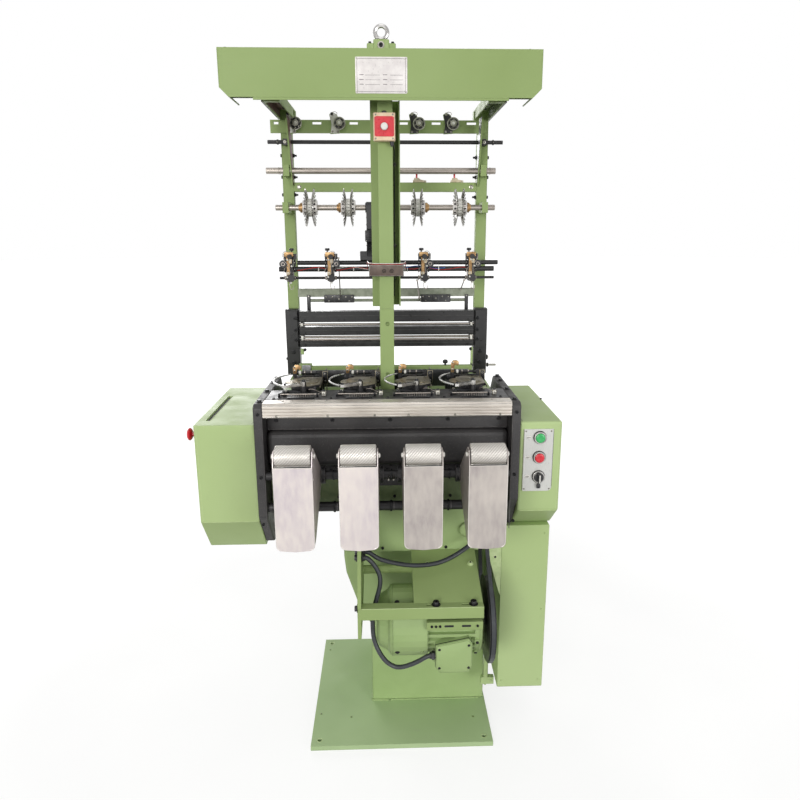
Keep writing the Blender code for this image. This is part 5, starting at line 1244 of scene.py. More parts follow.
# Back rail: ribbed adjuster, black knob and screws
def dressBackRail():
    bm = newShape()
    grey, black, zinc, dark = range(4)
    addPlate(bm, "Y", oblong((-0.283, 1.101), (-0.2535, 1.136), 0.003, 3), 0.161, 0.1642, grey, 0.0006)
    for x in along(-0.2795, -0.257, 7):
        addBlock(bm, (x - 0.001, 0.1596, 1.104), (x + 0.001, 0.1614, 1.133), 0.0005, grey)
    addTurned(bm, (0.1945, 0.18, 1.129), up, [(0, 0), (0, 0.0034), (0.006, 0.0034), (0.007, 0.0075),
            (0.01, 0.009), (0.015, 0.0085), (0.018, 0.0055), (0.0185, 0)], black, 20)
    for x in (-0.21, -0.1, 0.02, 0.13, 0.25):
        addScrew(bm, (x, 0.165, 1.108), ahead, 0.004, "socket", zinc if x < 0 else black, dark)
    addBlock(bm, (-0.25, 0.165, 1.0606), (0.272, 0.1676, 1.118), 0.0008, black)
    for x in (-0.27, 0.262):
        addScrew(bm, (x, 0.1715, 1.085), ahead, 0.004, "hex", black, dark)
    makePiece("backRailTrim", bm, "greySheet blackPlastic zinc darkHollow")


dressBackRail()
print("rack, lease bar and harness dressed")

# Weaving heads: worn plates, hooks, clamps and tubes; the needles sweep above z 1.1375
heads = {"x": (-0.2526, -0.0892, 0.0742, 0.2376), "top": 1.128, "railTop": 1.11}


def dressHead(x, number):
    bm = newShape()
    plate, black, zinc, dark, brass, white, steel = range(7)
    top = heads["top"]
    nose = [(x - 0.014 + u, -0.062 + v) for u, v in arcPoints(0, 0, 0.0385, 100, 225, 10)]
    shape = [(x + 0.0525, 0.0045), (x - 0.012, 0.0045), *nose, (x - 0.0095, -0.1222), (x + 0.0255, -0.1184),
             (x + 0.0525, -0.095)]
    addPlate(bm, "Z", shape, top - 0.0001, top + 0.0011, plate, 0.0003)
    raised = roundCorners([(x - 0.028, -0.02), (x - 0.034, -0.062), (x - 0.019, -0.092), (x + 0.026, -0.094),
                           (x + 0.044, -0.08), (x + 0.044, -0.014)], 0.007, 4)
    addPlate(bm, "Z", raised, top + 0.0009, top + 0.0031, plate, 0.0005)
    slot = oblong((x - 0.018, -0.055), (x + 0.02, -0.049), 0.003, 4)
    addPlate(bm, "Z", slot, top + 0.003, top + 0.0033, dark)
    for u, v, r in ((0.012, -0.036, 0.0036), (0.014, -0.068, 0.0036), (-0.022, -0.034, 0.003),
                    (0.038, -0.022, 0.003), (0.037, -0.074, 0.003), (-0.016, -0.082, 0.003)):
        addScrew(bm, (x + u, v, top + 0.003), up, r, "flat", zinc if abs(u) < 0.025 else black, dark)
    for u, v in ((0.03, -0.106), (-0.002, -0.112), (0.046, -0.003)):
        addScrew(bm, (x + u, v, top + 0.001), up, 0.0028, "flat", zinc, dark)
    for v in along(-0.118, -0.028, 10):
        addBlock(bm, (x + 0.0538, v - 0.003, top - 0.0068), (x + 0.0552, v + 0.003, top - 0.0012), 0.0005,
                 black)
    # front arm tube with its ring clamp, under the plate
    arm = (-0.1195, 1.1108)
    addRod(bm, (x - 0.0445, *arm), (x + 0.012, *arm), 0.0064, black, 20, 0.0008)
    addRing(bm, (x - 0.0475, *arm), toRight, 0.003, 0.0086, 0.007, zinc, 24)
    addRod(bm, (x - 0.0478, *arm), (x - 0.046, *arm), 0.0034, dark, 14)
    addScrew(bm, (x - 0.044, -0.1275, 1.1108), ahead, 0.002, "socket", black, dark)
    addRing(bm, (x + 0.0085, *arm), toRight, 0.006, 0.0084, 0.005, black, 22)
    # brass hook and white bead behind the needle's path
    tall = 0.046 if number == 4 else 0.036
    outline = ((-0.04, 0.01), (-0.0295, 0.01), (-0.0295, tall - 0.016), (-0.027, tall - 0.011),
               (-0.0215, tall - 0.011), (-0.0195, tall - 0.015),
               (-0.015, tall - 0.012), (-0.015, tall - 0.002), (-0.021, tall + 0.0025),
               (-0.033, tall + 0.0025), (-0.04, tall - 0.006))
    addPlate(bm, "Y", [(x + u, top + v) for u, v in outline], 0.0125, 0.0165, brass, 0.0009)
    for v in (0.02, tall - 0.005):
        addScrew(bm, (x - 0.0345, 0.0126, top + v), ahead, 0.003, "flat", zinc, dark)
    addRing(bm, (x - 0.039, 0.021, top + 0.012), toRight, 0.0038, 0.0066, 0.006, brass, 18)
    addTurned(bm, (x - 0.019, 0.0215, top + 0.012), toRight, [(-0.0045, 0), (-0.004, 0.004), (-0.002, 0.006),
            (0, 0.0066), (0.002, 0.006), (0.004, 0.004), (0.0045, 0)], white, 18)
    for u in (-0.006, 0.014, 0.03):
        addRing(bm, (x + u, 0.021, top + 0.012), toRight, 0.0038, 0.006, 0.0035, steel if u < 0.02 else black,
                18)
        addScrew(bm, (x + u + 0.0018, 0.015, top + 0.012), ahead, 0.0013, "socket", black, dark)
    addBlock(bm, (x + 0.0505, 0.012, 1.105), (x + 0.067, 0.03, 1.1455), 0.0014, black)
    for z in (1.114, 1.137):
        addScrew(bm, (x + 0.0588, 0.0122, z), ahead, 0.0032, "socket", zinc, dark)
    if number < 4:
        addRod(bm, (x + 0.06, 0.05, 1.0603), (x + 0.06, 0.05, 1.148), 0.0021, steel, 12, 0.0006)
        addRing(bm, (x + 0.06, 0.05, 1.0603), up, 0.0021, 0.005, 0.006, steel, 16)
    # white clamp on the rail with its thread hook
    addBlock(bm, (x + 0.064, -0.168, heads["railTop"] + 0.0002), (x + 0.0755, -0.151, 1.1225), 0.0012, white)
    addScrew(bm, (x + 0.0698, -0.16, 1.1224), up, 0.004, "socket", black, dark)
    addRod(bm, (x + 0.0698, -0.1676, 1.1165), (x + 0.0698, -0.175, 1.1165), 0.003, zinc, 12, 0.0006)
    wire = [(x + 0.0628, -0.164, 1.12), (x + 0.054, -0.167, 1.123), (x + 0.048, -0.174, 1.129),
            (x + 0.04, -0.178, 1.133), (x + 0.031, -0.174, 1.132), (x + 0.027, -0.165, 1.129),
            (x + 0.029, -0.157, 1.126)]
    addTube(bm, smoothRoute(wire), 0.001, steel, 6)
    addTurned(bm, (x + 0.01, -0.14, heads["railTop"] + 0.0001), up,
              [(0, 0.0082), (0, 0.0122), (0.001, 0.0128), (0.0038, 0.0128), (0.0046, 0.0118),
               (0.0046, 0.0082)], black, 26)
    for a in map(math.radians, range(45, 405, 90)):
        addScrew(bm, (x + 0.01 + 0.0175 * math.cos(a), -0.14 + 0.0175 * math.sin(a), heads["railTop"]), up,
                 0.0026, "socket", black, dark)
    look = "plateSteel blackBolt zinc darkHollow brass white shaftSteel"
    makePiece(f"headTrim{number}", bm, look)


for number, x in enumerate(heads["x"], 1):
    dressHead(x, number)


# Front bars and side frames: screws, painted highlight beads along the edges, and bosses
def dressFrontBars():
    half = 0.3415
    bm = newShape()
    zinc, dark, bright = range(3)
    for x in (-0.305, -0.165, -0.036, 0.057, 0.185, 0.31):
        addScrew(bm, (x, -0.2618, 1.0768), ahead, 0.0034, "slot", zinc, dark)
    # painted highlights: thin chrome beads along the breast bar's edges
    for z in (1.1056, 1.0737):
        addLine(bm, "X", (-half, half), (-0.2616, z), 0.0007, bright)
    addLine(bm, "X", (-half, half), (-0.2558, 1.1112), 0.0008, bright)
    for x in (-0.29, -0.17, -0.05, 0.05, 0.17, 0.29):
        addScrew(bm, (x, -0.232, 1.1115), up, 0.0036, "flat", zinc, dark)
    makePiece("breastBarTrim", bm, "zinc darkHollow chrome")
    bm = newShape()
    black, dark, lit = range(3)
    for x in along(-0.32, 0.32, 9):
        addScrew(bm, (x, -0.1985, 1.11), up, 0.0038, "socket", black, dark)
        addScrew(bm, (x, -0.205, 1.096), ahead, 0.003, "socket", black, dark)
    addLine(bm, "X", (-half, half), (-0.2045, 1.1094), 0.0009, lit)
    for side in (-1, 1):
        for z in (1.082, 0.9, 0.76):
            addScrew(bm, (side * 0.3557, -0.2621, z), ahead, 0.0044, "socket", black, dark)
        for y in (-0.225, -0.1, 0.02, 0.085):
            addScrew(bm, (side * 0.3557, y, 1.1089), up, 0.0064, "hex", black, dark, washer=0.0092)
        addLine(bm, "Z", (0.735, 1.092), (side * 0.3452, -0.2605), 0.0012, lit)
        for y, z in ((-0.15, 0.96), (-0.15, 0.78), (0.09, 0.96), (0.09, 0.76)):
            addScrew(bm, (side * 0.3426, y, z), (-side, 0, 0), 0.0055, "socket", black, dark)
    makePiece("frameBolts", bm, "blackBolt darkHollow edgeSteel")


dressFrontBars()


# Black sheets above and below the main beam, with their ribs and screws, and painted shade in dark green
# below the lower sheet
def dressFrontSheets():
    half = 0.3405
    bm = newShape()
    black, bolt, dark, lit, olive = range(5)
    low = roundCorners([(-half, 0.88), (-0.065, 0.88), (-0.065, 0.845), (0.078, 0.845), (0.078, 0.88),
                        (half, 0.88), (half, 0.914), (-half, 0.914)], 0.003, 3)
    addPlate(bm, "Y", low, -0.193, -0.1908, black, 0.0004)
    # painted shade: dark green below the lower black sheet, where the beam shades the green frame
    shadedGreenBand = oblong((-half, 0.79), (half, 0.879), 0.003, 3)
    addPlate(bm, "Y", shadedGreenBand, -0.1926, -0.1908, olive, 0.0004)
    high = oblong((-0.341, 1.0215), (0.341, 1.0805), 0.003, 3)
    addPlate(bm, "Y", high, -0.206, -0.2036, black, 0.0004)
    addBlock(bm, (-half, -0.205, 1.0206), (half, -0.094, 1.0232), 0.0008, black)
    for side in (-1, 1):
        addBlock(bm, (side * 0.338, -0.2032, 1.022), (side * half, -0.095, 1.059), 0.0006, black)
        addBlock(bm, (side * 0.3375, -0.1912, 0.791), (side * half, -0.1712, 0.913), 0.0006, black)
    for x in (-0.315, -0.157, 0.006, 0.17, 0.315):
        addBlock(bm, (x - 0.003, -0.1962, 0.886), (x + 0.003, -0.1922, 0.908), 0.0012, black)
        addScrew(bm, (x + 0.011, -0.1926, 0.812), ahead, 0.0042, "socket", bolt, dark)
        addScrew(bm, (x - 0.011, -0.193, 0.895), ahead, 0.0042, "hex", bolt, dark)
        addScrew(bm, (x, -0.206, 1.05), ahead, 0.0042, "socket", bolt, dark, washer=0.0062)
    addLine(bm, "X", (-0.338, 0.338), (-0.2058, 1.0232), 0.0008, lit)
    makePiece("frontSheets", bm, "blackCast blackBolt darkHollow edgeSteel olive")


# Reed carriers behind the heads: black rails with fine steel dents, and thread guides on the rail
def dressReeds():
    bm = newShape()
    black, steel, dark, bolt, lit = range(5)
    for x in heads["x"]:
        a, b = x - 0.052, x + 0.05
        if x > 0.2:
            b = x + 0.066
        addBlock(bm, (a, 0.066, 1.0604), (b, 0.09, 1.101), 0.0018, black)
        addBlock(bm, (a + 0.004, 0.072, 1.1), (b - 0.004, 0.084, 1.119), 0.0012, black)
        addLine(bm, "X", (a + 0.002, b - 0.002), (0.0662, 1.1), 0.0008, lit, 6, 3)
        for u in along(x - 0.018, x + 0.018, 16):
            addBlock(bm, (u - 0.00035, 0.069, 1.1005), (u + 0.00035, 0.073, 1.1235), 0, steel)
        addBlock(bm, (x - 0.0215, 0.068, 1.122), (x + 0.0215, 0.074, 1.1262), 0.0008, black)
        for u in (a + 0.01, b - 0.01):
            addScrew(bm, (u, 0.066, 1.08), ahead, 0.0042, "socket", bolt, dark)
            addScrew(bm, (u, 0.078, 1.119), up, 0.0034, "socket", bolt, dark)
        # tape guide on the head rail: base, fine rods and a cross rod, all below the needle
        addBlock(bm, (x - 0.03, -0.199, 1.1099), (x + 0.046, -0.185, 1.1135), 0.001, black)
        for u in along(x - 0.018, x + 0.034, 9):
            addRod(bm, (u, -0.192, 1.113), (u, -0.192, 1.1225), 0.0008, steel, 8, 0.0002)
        addRod(bm, (x - 0.022, -0.192, 1.1215), (x + 0.038, -0.192, 1.1215), 0.0013, steel, 10, 0.0003)
        addBlock(bm, (x - 0.055, -0.156, 1.1099), (x - 0.038, -0.134, 1.118), 0.0014, black)
        addScrew(bm, (x - 0.0465, -0.145, 1.118), up, 0.0042, "socket", bolt, dark)
        addRod(bm, (x - 0.058, -0.17, 1.1165), (x + 0.058, -0.17, 1.1165), 0.0022, steel, 12, 0.0006)
        for u in (-0.056, 0.052):
            addBlock(bm, (x + u - 0.003, -0.1745, 1.1099), (x + u + 0.003, -0.1655, 1.1195), 0.0008, black)
    makePiece("reedCarriers", bm, "blackBolt shaftSteel darkHollow blackPlastic edgeSteel")


# Each needle's bow, a little stouter than the plain one, with its clamp screw
def dressNeedle(number, x):
    bm = newShape()
    pivot = x + 0.01
    bow = [(u, v, 1.14) for u, v in arcPoints(pivot + 0.0153, -0.0871, 0.108, 230.1, 130.9, 30)]
    radii = [0.0029 if i < 24 else 0.0029 - 0.0003 * (i - 23) for i in range(30)]
    addTube(bm, bow, 0.0029, 0, 10, radii=radii)
    addScrew(bm, (pivot - 0.049, -0.1695, 1.144), up, 0.0036, "socket", 2, 1)
    addScrew(bm, (pivot, -0.14, 1.147), up, 0.0048, "socket", 2, 1)
    makePiece(f"needleBow{number}", bm, "needleSteel darkHollow blackBolt", f"weft_needle_{number}")


dressFrontSheets()
dressReeds()
for number, x in enumerate(heads["x"], 1):
    dressNeedle(number, x)
print("heads and front bars dressed")


# Take-down: knurled roller sleeves with painted shade in their grooves, chute edges, pins, collar screws and
# painted highlight bands on the shafts
takeDown = {"x": (-0.2391, -0.0757, 0.0877, 0.2511), "rollY": -0.433, "rollZ": 1.019, "half": 0.044,
            "sleeve": 0.02725, "crest": 0.0011,
            "faceY": -0.46, "low": 0.773, "high": 0.997, "chuteHalf": 0.0495, "shaft": (-0.25, 0.901)}


def makeSleeve(number, x):
    bm = newShape()
    around, across = 60, 36
    rows = []
    for i in range(across + 1):
        u = x - takeDown["half"] + 2 * takeDown["half"] * i / across
        ring = []
        for k in range(around):
            a = 2 * math.pi * (k + 0.5 * (i % 2)) / around
            lift = takeDown["crest"] if (k + i) % 3 == 0 and 0 < i < across else 0.0
            r = takeDown["sleeve"] + lift
            ring.append(bm.verts.new((u, takeDown["rollY"] + r * math.cos(a),
                                      takeDown["rollZ"] + r * math.sin(a))))
        rows.append(ring)
    for i, (one, two) in enumerate(zip(rows, rows[1:])):
        for k in range(around):
            j = (k + 1) % around
            cell = bm.faces.new((one[k], one[j], two[j], two[k]))
            # the faces beside each crest take the darker steel as painted shade in the grooves
            cell.material_index = 2 if (k + i) % 3 == 1 else 0
    for side, ring in ((-1, rows[0]), (1, rows[-1])):
        edge = x + side * takeDown["half"]
        inner = []
        for k in range(around):
            a = 2 * math.pi * (k + 0.5 * ((across if side > 0 else 0) % 2)) / around
            inner.append(bm.verts.new((edge + side * 0.0004, takeDown["rollY"] + 0.0262 * math.cos(a),
                                       takeDown["rollZ"] + 0.0262 * math.sin(a))))
        for k in range(around):
            j = (k + 1) % around
            bm.faces.new((ring[k], ring[j], inner[j], inner[k]))
    for side in (-1, 1):
        spot = (x + side * 0.0526, takeDown["rollY"], takeDown["rollZ"])
        addTurned(bm, spot, (side, 0, 0), [(-0.0004, 0), (-0.0004, 0.0062), (0.001, 0.0062), (0.0022, 0.0048),
                (0.0028, 0.0022), (0.0029, 0)], 1, 20)
    makePiece(f"knurledSleeve{number}", bm, "rollerSteel white grooveSteel",
              f"nip_roller_{number}", 12)


def dressChute(number, x):
    bm = newShape()
    bright, dark, black = range(3)
    y, half = takeDown["faceY"], takeDown["chuteHalf"]
    low, high = takeDown["low"] + 0.014, takeDown["high"]
    for side in (-1, 1):
        u = x + side * (half - 0.0011)
        rim = [(u, y + 0.001, high - 0.0004), (u, y + 0.001, low),
               (u - side * 0.0016, y + 0.001, low - 0.005), (u - side * 0.005, y + 0.001, low - 0.0095),
               (u - side * 0.01, y + 0.001, low - 0.012)]
        addTube(bm, smoothRoute(rim), 0.00125, bright, 8)
        edge = x + side * (half - 0.0004)
        addRing(bm, (edge, takeDown["rollY"], takeDown["rollZ"]), (side, 0, 0), 0.0066, 0.0098, 0.0014,
                bright, 24)
        addRing(bm, (edge, *takeDown["shaft"]), (side, 0, 0), 0.015, 0.0178, 0.0006, bright, 28)
        for z in (0.96, 0.845):
            addScrew(bm, (edge, y + 0.018, z), (side, 0, 0), 0.0026, "dome", bright, dark)
    addTube(bm, [(x + u, y + 0.0008, high - 0.0007) for u in along(-half + 0.002, half - 0.002, 4)], 0.0011,
            bright, 8)
    addBlock(bm, (x - half + 0.0045, y + 0.0042, high - 0.004), (x + half - 0.0045, y + 0.0062, high + 0.003),
             0.0006, black)
    makePiece(f"chuteTrim{number}", bm, "rollerSteel darkHollow blackPlastic",
              f"chute_{number}")


def dressShafts():
    bm = newShape()
    black, dark, lit, steel = range(4)
    y, z = takeDown["shaft"]
    for x in takeDown["x"]:
        for side in (-1, 1):
            middle = x + side * (takeDown["chuteHalf"] + 0.0075)
            for turn in (200, 110):
                out = radial(turn)
                addScrew(bm, Vector((middle, y, z)) + out * 0.0232, out, 0.003, "socket", black, dark)
            # painted highlight bands on each side of the chute collars
            for u in (-0.0052, 0.0042):
                addRing(bm, (middle + u, y, z), toRight, 0.0228, 0.0241, 0.001, lit, 28)
    for x in (-0.325, -0.157, 0.006, 0.17, 0.326):
        addRing(bm, (x, y, z), toRight, 0.0123, 0.0152, 0.0045, black, 24)
    for x in (-0.33, -0.158, 0.004, 0.168, 0.33):
        addRing(bm, (x, -0.235, 0.8), toRight, 0.0138, 0.0168, 0.006, black, 24)
        # painted highlight band beside each lower-shaft collar
        addRing(bm, (x + 0.009, -0.235, 0.8), toRight, 0.0138, 0.0147, 0.003, lit, 24)
        addScrew(bm, (x + 0.003, -0.2517, 0.8), ahead, 0.0022, "socket", black, dark)
    # two long grub screws between the second and third chutes
    for x in (0.0, 0.014):
        addRod(bm, (x, y - 0.012, z - 0.003), (x, y - 0.03, z - 0.006), 0.0028, steel, 10, 0.0006)
    makePiece("shaftCollars", bm, "blackBolt darkHollow edgeSteel zinc")


for number, x in enumerate(takeDown["x"], 1):
    makeSleeve(number, x)
    dressChute(number, x)
dressShafts()
print("chutes and rollers dressed")

# Covers and belt guard: folded seams, painted highlights along the edges, cover screws, painted shade in the
# top groove and a flange
covers = {
    "left": {"side": -1, "in": 0.3692, "out": 0.536, "front": -0.248, "back": 0.215, "low": 0.65,
             "high": 1.049, "crease": 0.762},
    "right": {"side": 1, "in": 0.3692, "out": 0.489, "front": -0.248, "back": 0.215, "low": 0.711,
              "high": 1.049, "crease": 0.783},
}


def dressCover(name, look):
    bm = newShape()
    bolt, dark, light = range(3)
    side = look["side"]
    a, b = side * (look["in"] + 0.008), side * (look["out"] - 0.0075)
    front, back = look["front"], look["back"]
    crease = look["crease"]
    # painted highlight: lighter green beads along the front edges, the crease and the top
    for x in (a, b):
        addLine(bm, "Z", (crease + 0.006, look["high"] - 0.008), (x, front + 0.0008), 0.001, light)
    addLine(bm, "X", (a, b), (front + 0.0006, crease), 0.001, light)
    addLine(bm, "X", (a, b), (front + 0.0008, look["high"] - 0.0072), 0.0008, light)
    seam = 0.0006
    addLine(bm, "Y", (front + 0.01, back - 0.01), (a, look["high"] - 0.0002), seam, dark)
    addTube(bm, [(x, back - 0.0002, z) for x, z in ((a, look["high"] - 0.01), (a, look["low"] + 0.01))], seam,
            dark, 6)
    outer = side * look["out"]
    for y, z in ((front + 0.025, crease + 0.02), (front + 0.025, look["high"] - 0.025),
                 (back - 0.025, look["high"] - 0.025), (back - 0.025, look["low"] + 0.025),
                 (front + 0.16, look["low"] + 0.025)):
        addScrew(bm, (outer - side * 0.0006, y, z), (side, 0, 0), 0.0044, "flat", bolt, dark)
    for y in (-0.1, 0.04, 0.16):
        addScrew(bm, (side * (look["in"] + 0.016), y, look["high"]), up, 0.004, "cross", bolt, dark,
                 washer=0.0062)
    for x in (look["in"] + 0.02, look["out"] - 0.02):
        for z in (look["low"] + 0.03, look["high"] - 0.03):
            addScrew(bm, (side * x, back, z), behind, 0.0042, "cross", bolt, dark, washer=0.0066)
    if side < 0:
        # painted shade: a dark sheet in the top groove, with painted highlight beads along its edges
        shadeSheet = oblong((-0.5136, -0.1972), (-0.5024, 0.0942), 0.003, 3)
        addPlate(bm, "Z", shadeSheet, 1.0441, 1.0447, dark)
        for x in (-0.5146, -0.5014):
            addLine(bm, "Y", (-0.197, 0.094), (x, 1.049), 0.0007, light)
        addRing(bm, (outer - 0.0002, -0.2, 1.011), toLeft, 0.0141, 0.0178, 0.0022, bolt, 28)
    else:
        addRod(bm, (0.4845, 0.012, 1.0488), (0.4845, 0.012, 1.053), 0.0032, bolt, 12, 0.0008)
    makePiece(f"coverTrim.{name}", bm, "blackBolt darkHollow edgeGreen")


for name, look in covers.items():
    dressCover(name, look)


def dressGuard():
    bm = newShape()
    paint, bolt, dark, light = range(4)
    # painted highlight: the curved plate beside the guard and the beads along its edges take the lighter
    # green
    curve = [(0.3382, 0.705), (0.3012, 0.705), (0.3004, 0.64), (0.304, 0.6), (0.313, 0.565), (0.322, 0.532),
             (0.331, 0.5), (0.3382, 0.48)]
    addPlate(bm, "Y", curve, -0.1922, -0.1906, light, 0.0003)
    for z in (0.69, 0.61):
        addScrew(bm, (0.32, -0.192, z), ahead, 0.0036, "dome", bolt, dark)
    for x in (0.3402, 0.4798):
        addLine(bm, "Z", (0.158, 0.708), (x, -0.1894), 0.0009, light)
    for x in (0.352, 0.468):
        for z in (0.18, 0.43, 0.685):
            if x > 0.36 or z < 0.2:
                addScrew(bm, (x, -0.19, z), ahead, 0.003, "dome", paint, dark)
            addScrew(bm, (x, 0.17, z), behind, 0.004, "cross", bolt, dark, washer=0.0062)
    for y in (-0.165, 0.145):
        for z in (0.185, 0.43, 0.68):
            addScrew(bm, (0.482, y, z), toRight, 0.004, "cross", bolt, dark, washer=0.0062)
    addLine(bm, "Y", (-0.15, 0.13), (0.4822, 0.43), 0.0006, dark)
    foot = [(0.2955, 0.1215), (0.338, 0.1215), (0.338, 0.1475), (0.317, 0.1475), (0.317, 0.228),
            (0.338, 0.228), (0.338, 0.24), (0.305, 0.24), (0.305, 0.1475), (0.2955, 0.1475)]
    addPlate(bm, "Y", foot, -0.129, -0.113, paint, 0.001)
    addScrew(bm, (0.327, -0.1288, 0.1345), ahead, 0.0042, "hex", paint, dark)
    addRod(bm, (0.311, -0.121, 0.1215), (0.311, -0.121, 0.115), 0.004, paint, 12, 0.0008)
    makePiece("guardTrim", bm, "coverPaint blackBolt darkHollow edgeGreen")


dressGuard()

# Switch panel: chrome bezels, blank tags, glossy caps, selector pointer and key
panel = {"x": (0.3805, 0.4645), "z": (0.845, 1.029), "front": -0.2523, "column": 0.4255,
         "rows": (1.005, 0.9465, 0.889)}


def dressPanel():
    bm = newShape()
    chrome, dark, zinc, tag, key = range(5)
    y, x = panel["front"], panel["column"]
    for z in panel["rows"]:
        addRing(bm, (x, y - 0.0052, z), ahead, 0.0138, 0.0174, 0.0028, chrome, 36)
        addRing(bm, (x, y - 0.0002, z), ahead, 0.0166, 0.0188, 0.0016, dark, 36)
        spot = oblong((x - 0.0385, z - 0.004), (x - 0.0245, z + 0.0045), 0.001, 2)
        addPlate(bm, "Y", spot, y - 0.0006, y + 0.0002, tag, 0.0001)
        addBlock(bm, (x - 0.037, y - 0.0009, z + 0.0004), (x - 0.0262, y - 0.0004, z + 0.0013), 0, dark)
        addBlock(bm, (x - 0.037, y - 0.0009, z - 0.002), (x - 0.03, y - 0.0004, z - 0.0012), 0, dark)
    for u in (panel["x"][0] + 0.0055, panel["x"][1] - 0.007):
        for v in (panel["z"][0] + 0.007, panel["z"][1] - 0.006):
            addScrew(bm, (u, y, v), ahead, 0.0026, "cross", zinc, dark)
    # painted shade along the plate's right edge and a painted highlight bead along its left edge
    addLine(bm, "Z", (0.858, 1.0285), (panel["x"][1] - 0.0006, y + 0.0006), 0.0008, dark)
    addLine(bm, "Z", (0.848, 1.0285), (panel["x"][0] + 0.0006, y + 0.0004), 0.0007, zinc)
    addRod(bm, (x, y - 0.0002, 0.866), (x, y - 0.006, 0.866), 0.0042, zinc, 18, 0.0006)
    bow = oblong((x - 0.0058, 0.8555), (x + 0.0058, 0.8695), 0.003, 4)
    addPlate(bm, "Y", bow, y - 0.0078, y - 0.006, key, 0.0004)
    addRing(bm, (x, y - 0.0078, 0.8595), ahead, 0.001, 0.0022, 0.0003, dark, 14)
    makePiece("panelTrim", bm, "chrome darkHollow zinc white blackPlastic")
    for z, key, body, slotName in ((panel["rows"][0], "lampGreen", "start_button", "green_plastic"),
                                   (panel["rows"][1], "red", "halt_button", "red_plastic")):
        bm = newShape()
        addTurned(bm, (x, y - 0.0098, z), ahead, [(0, 0), (0, 0.0131), (0.001, 0.013), (0.002, 0.0118),
                (0.0026, 0.0085), (0.0022, 0.006), (0.002, 0)], 0, 36)
        makePiece(f"buttonCap.{key}", bm, key, body, 50)
    bm = newShape()
    z = panel["rows"][2]
    addBlock(bm, (x - 0.0018, y - 0.0236, z - 0.0112), (x + 0.0018, y - 0.0226, z + 0.0112), 0.0004, 0)
    addRing(bm, (x, y - 0.0118, z), ahead, 0.0098, 0.0128, 0.0012, 1, 32)
    for turn in range(20):
        a = 2 * math.pi * turn / 20
        addRod(bm, (x + 0.013 * math.cos(a), y - 0.004, z + 0.013 * math.sin(a)),
               (x + 0.013 * math.cos(a), y - 0.0116, z + 0.013 * math.sin(a)), 0.0006, 1, 6)
    makePiece("selectorPointer", bm, "white blackPlastic", "selector_knob")
    bm = newShape()
    out = (-0.5654, -0.2, 1.011)
    addTurned(bm, out, toLeft, [(-0.0006, 0), (-0.0006, 0.0128), (0.0002, 0.013), (0.0004, 0.009),
                                (0.0002, 0)], 0, 32)
    makePiece("sideStopCap", bm, "red", "stop_button_side", 50)


dressPanel()
print("covers, guard and panel dressed")

# Motor: fan grille, cowl screws, terminal box lid, gland and flange bolts
motor = {"y": -0.29, "z": 0.468, "left": -0.036, "fan": 0.1}


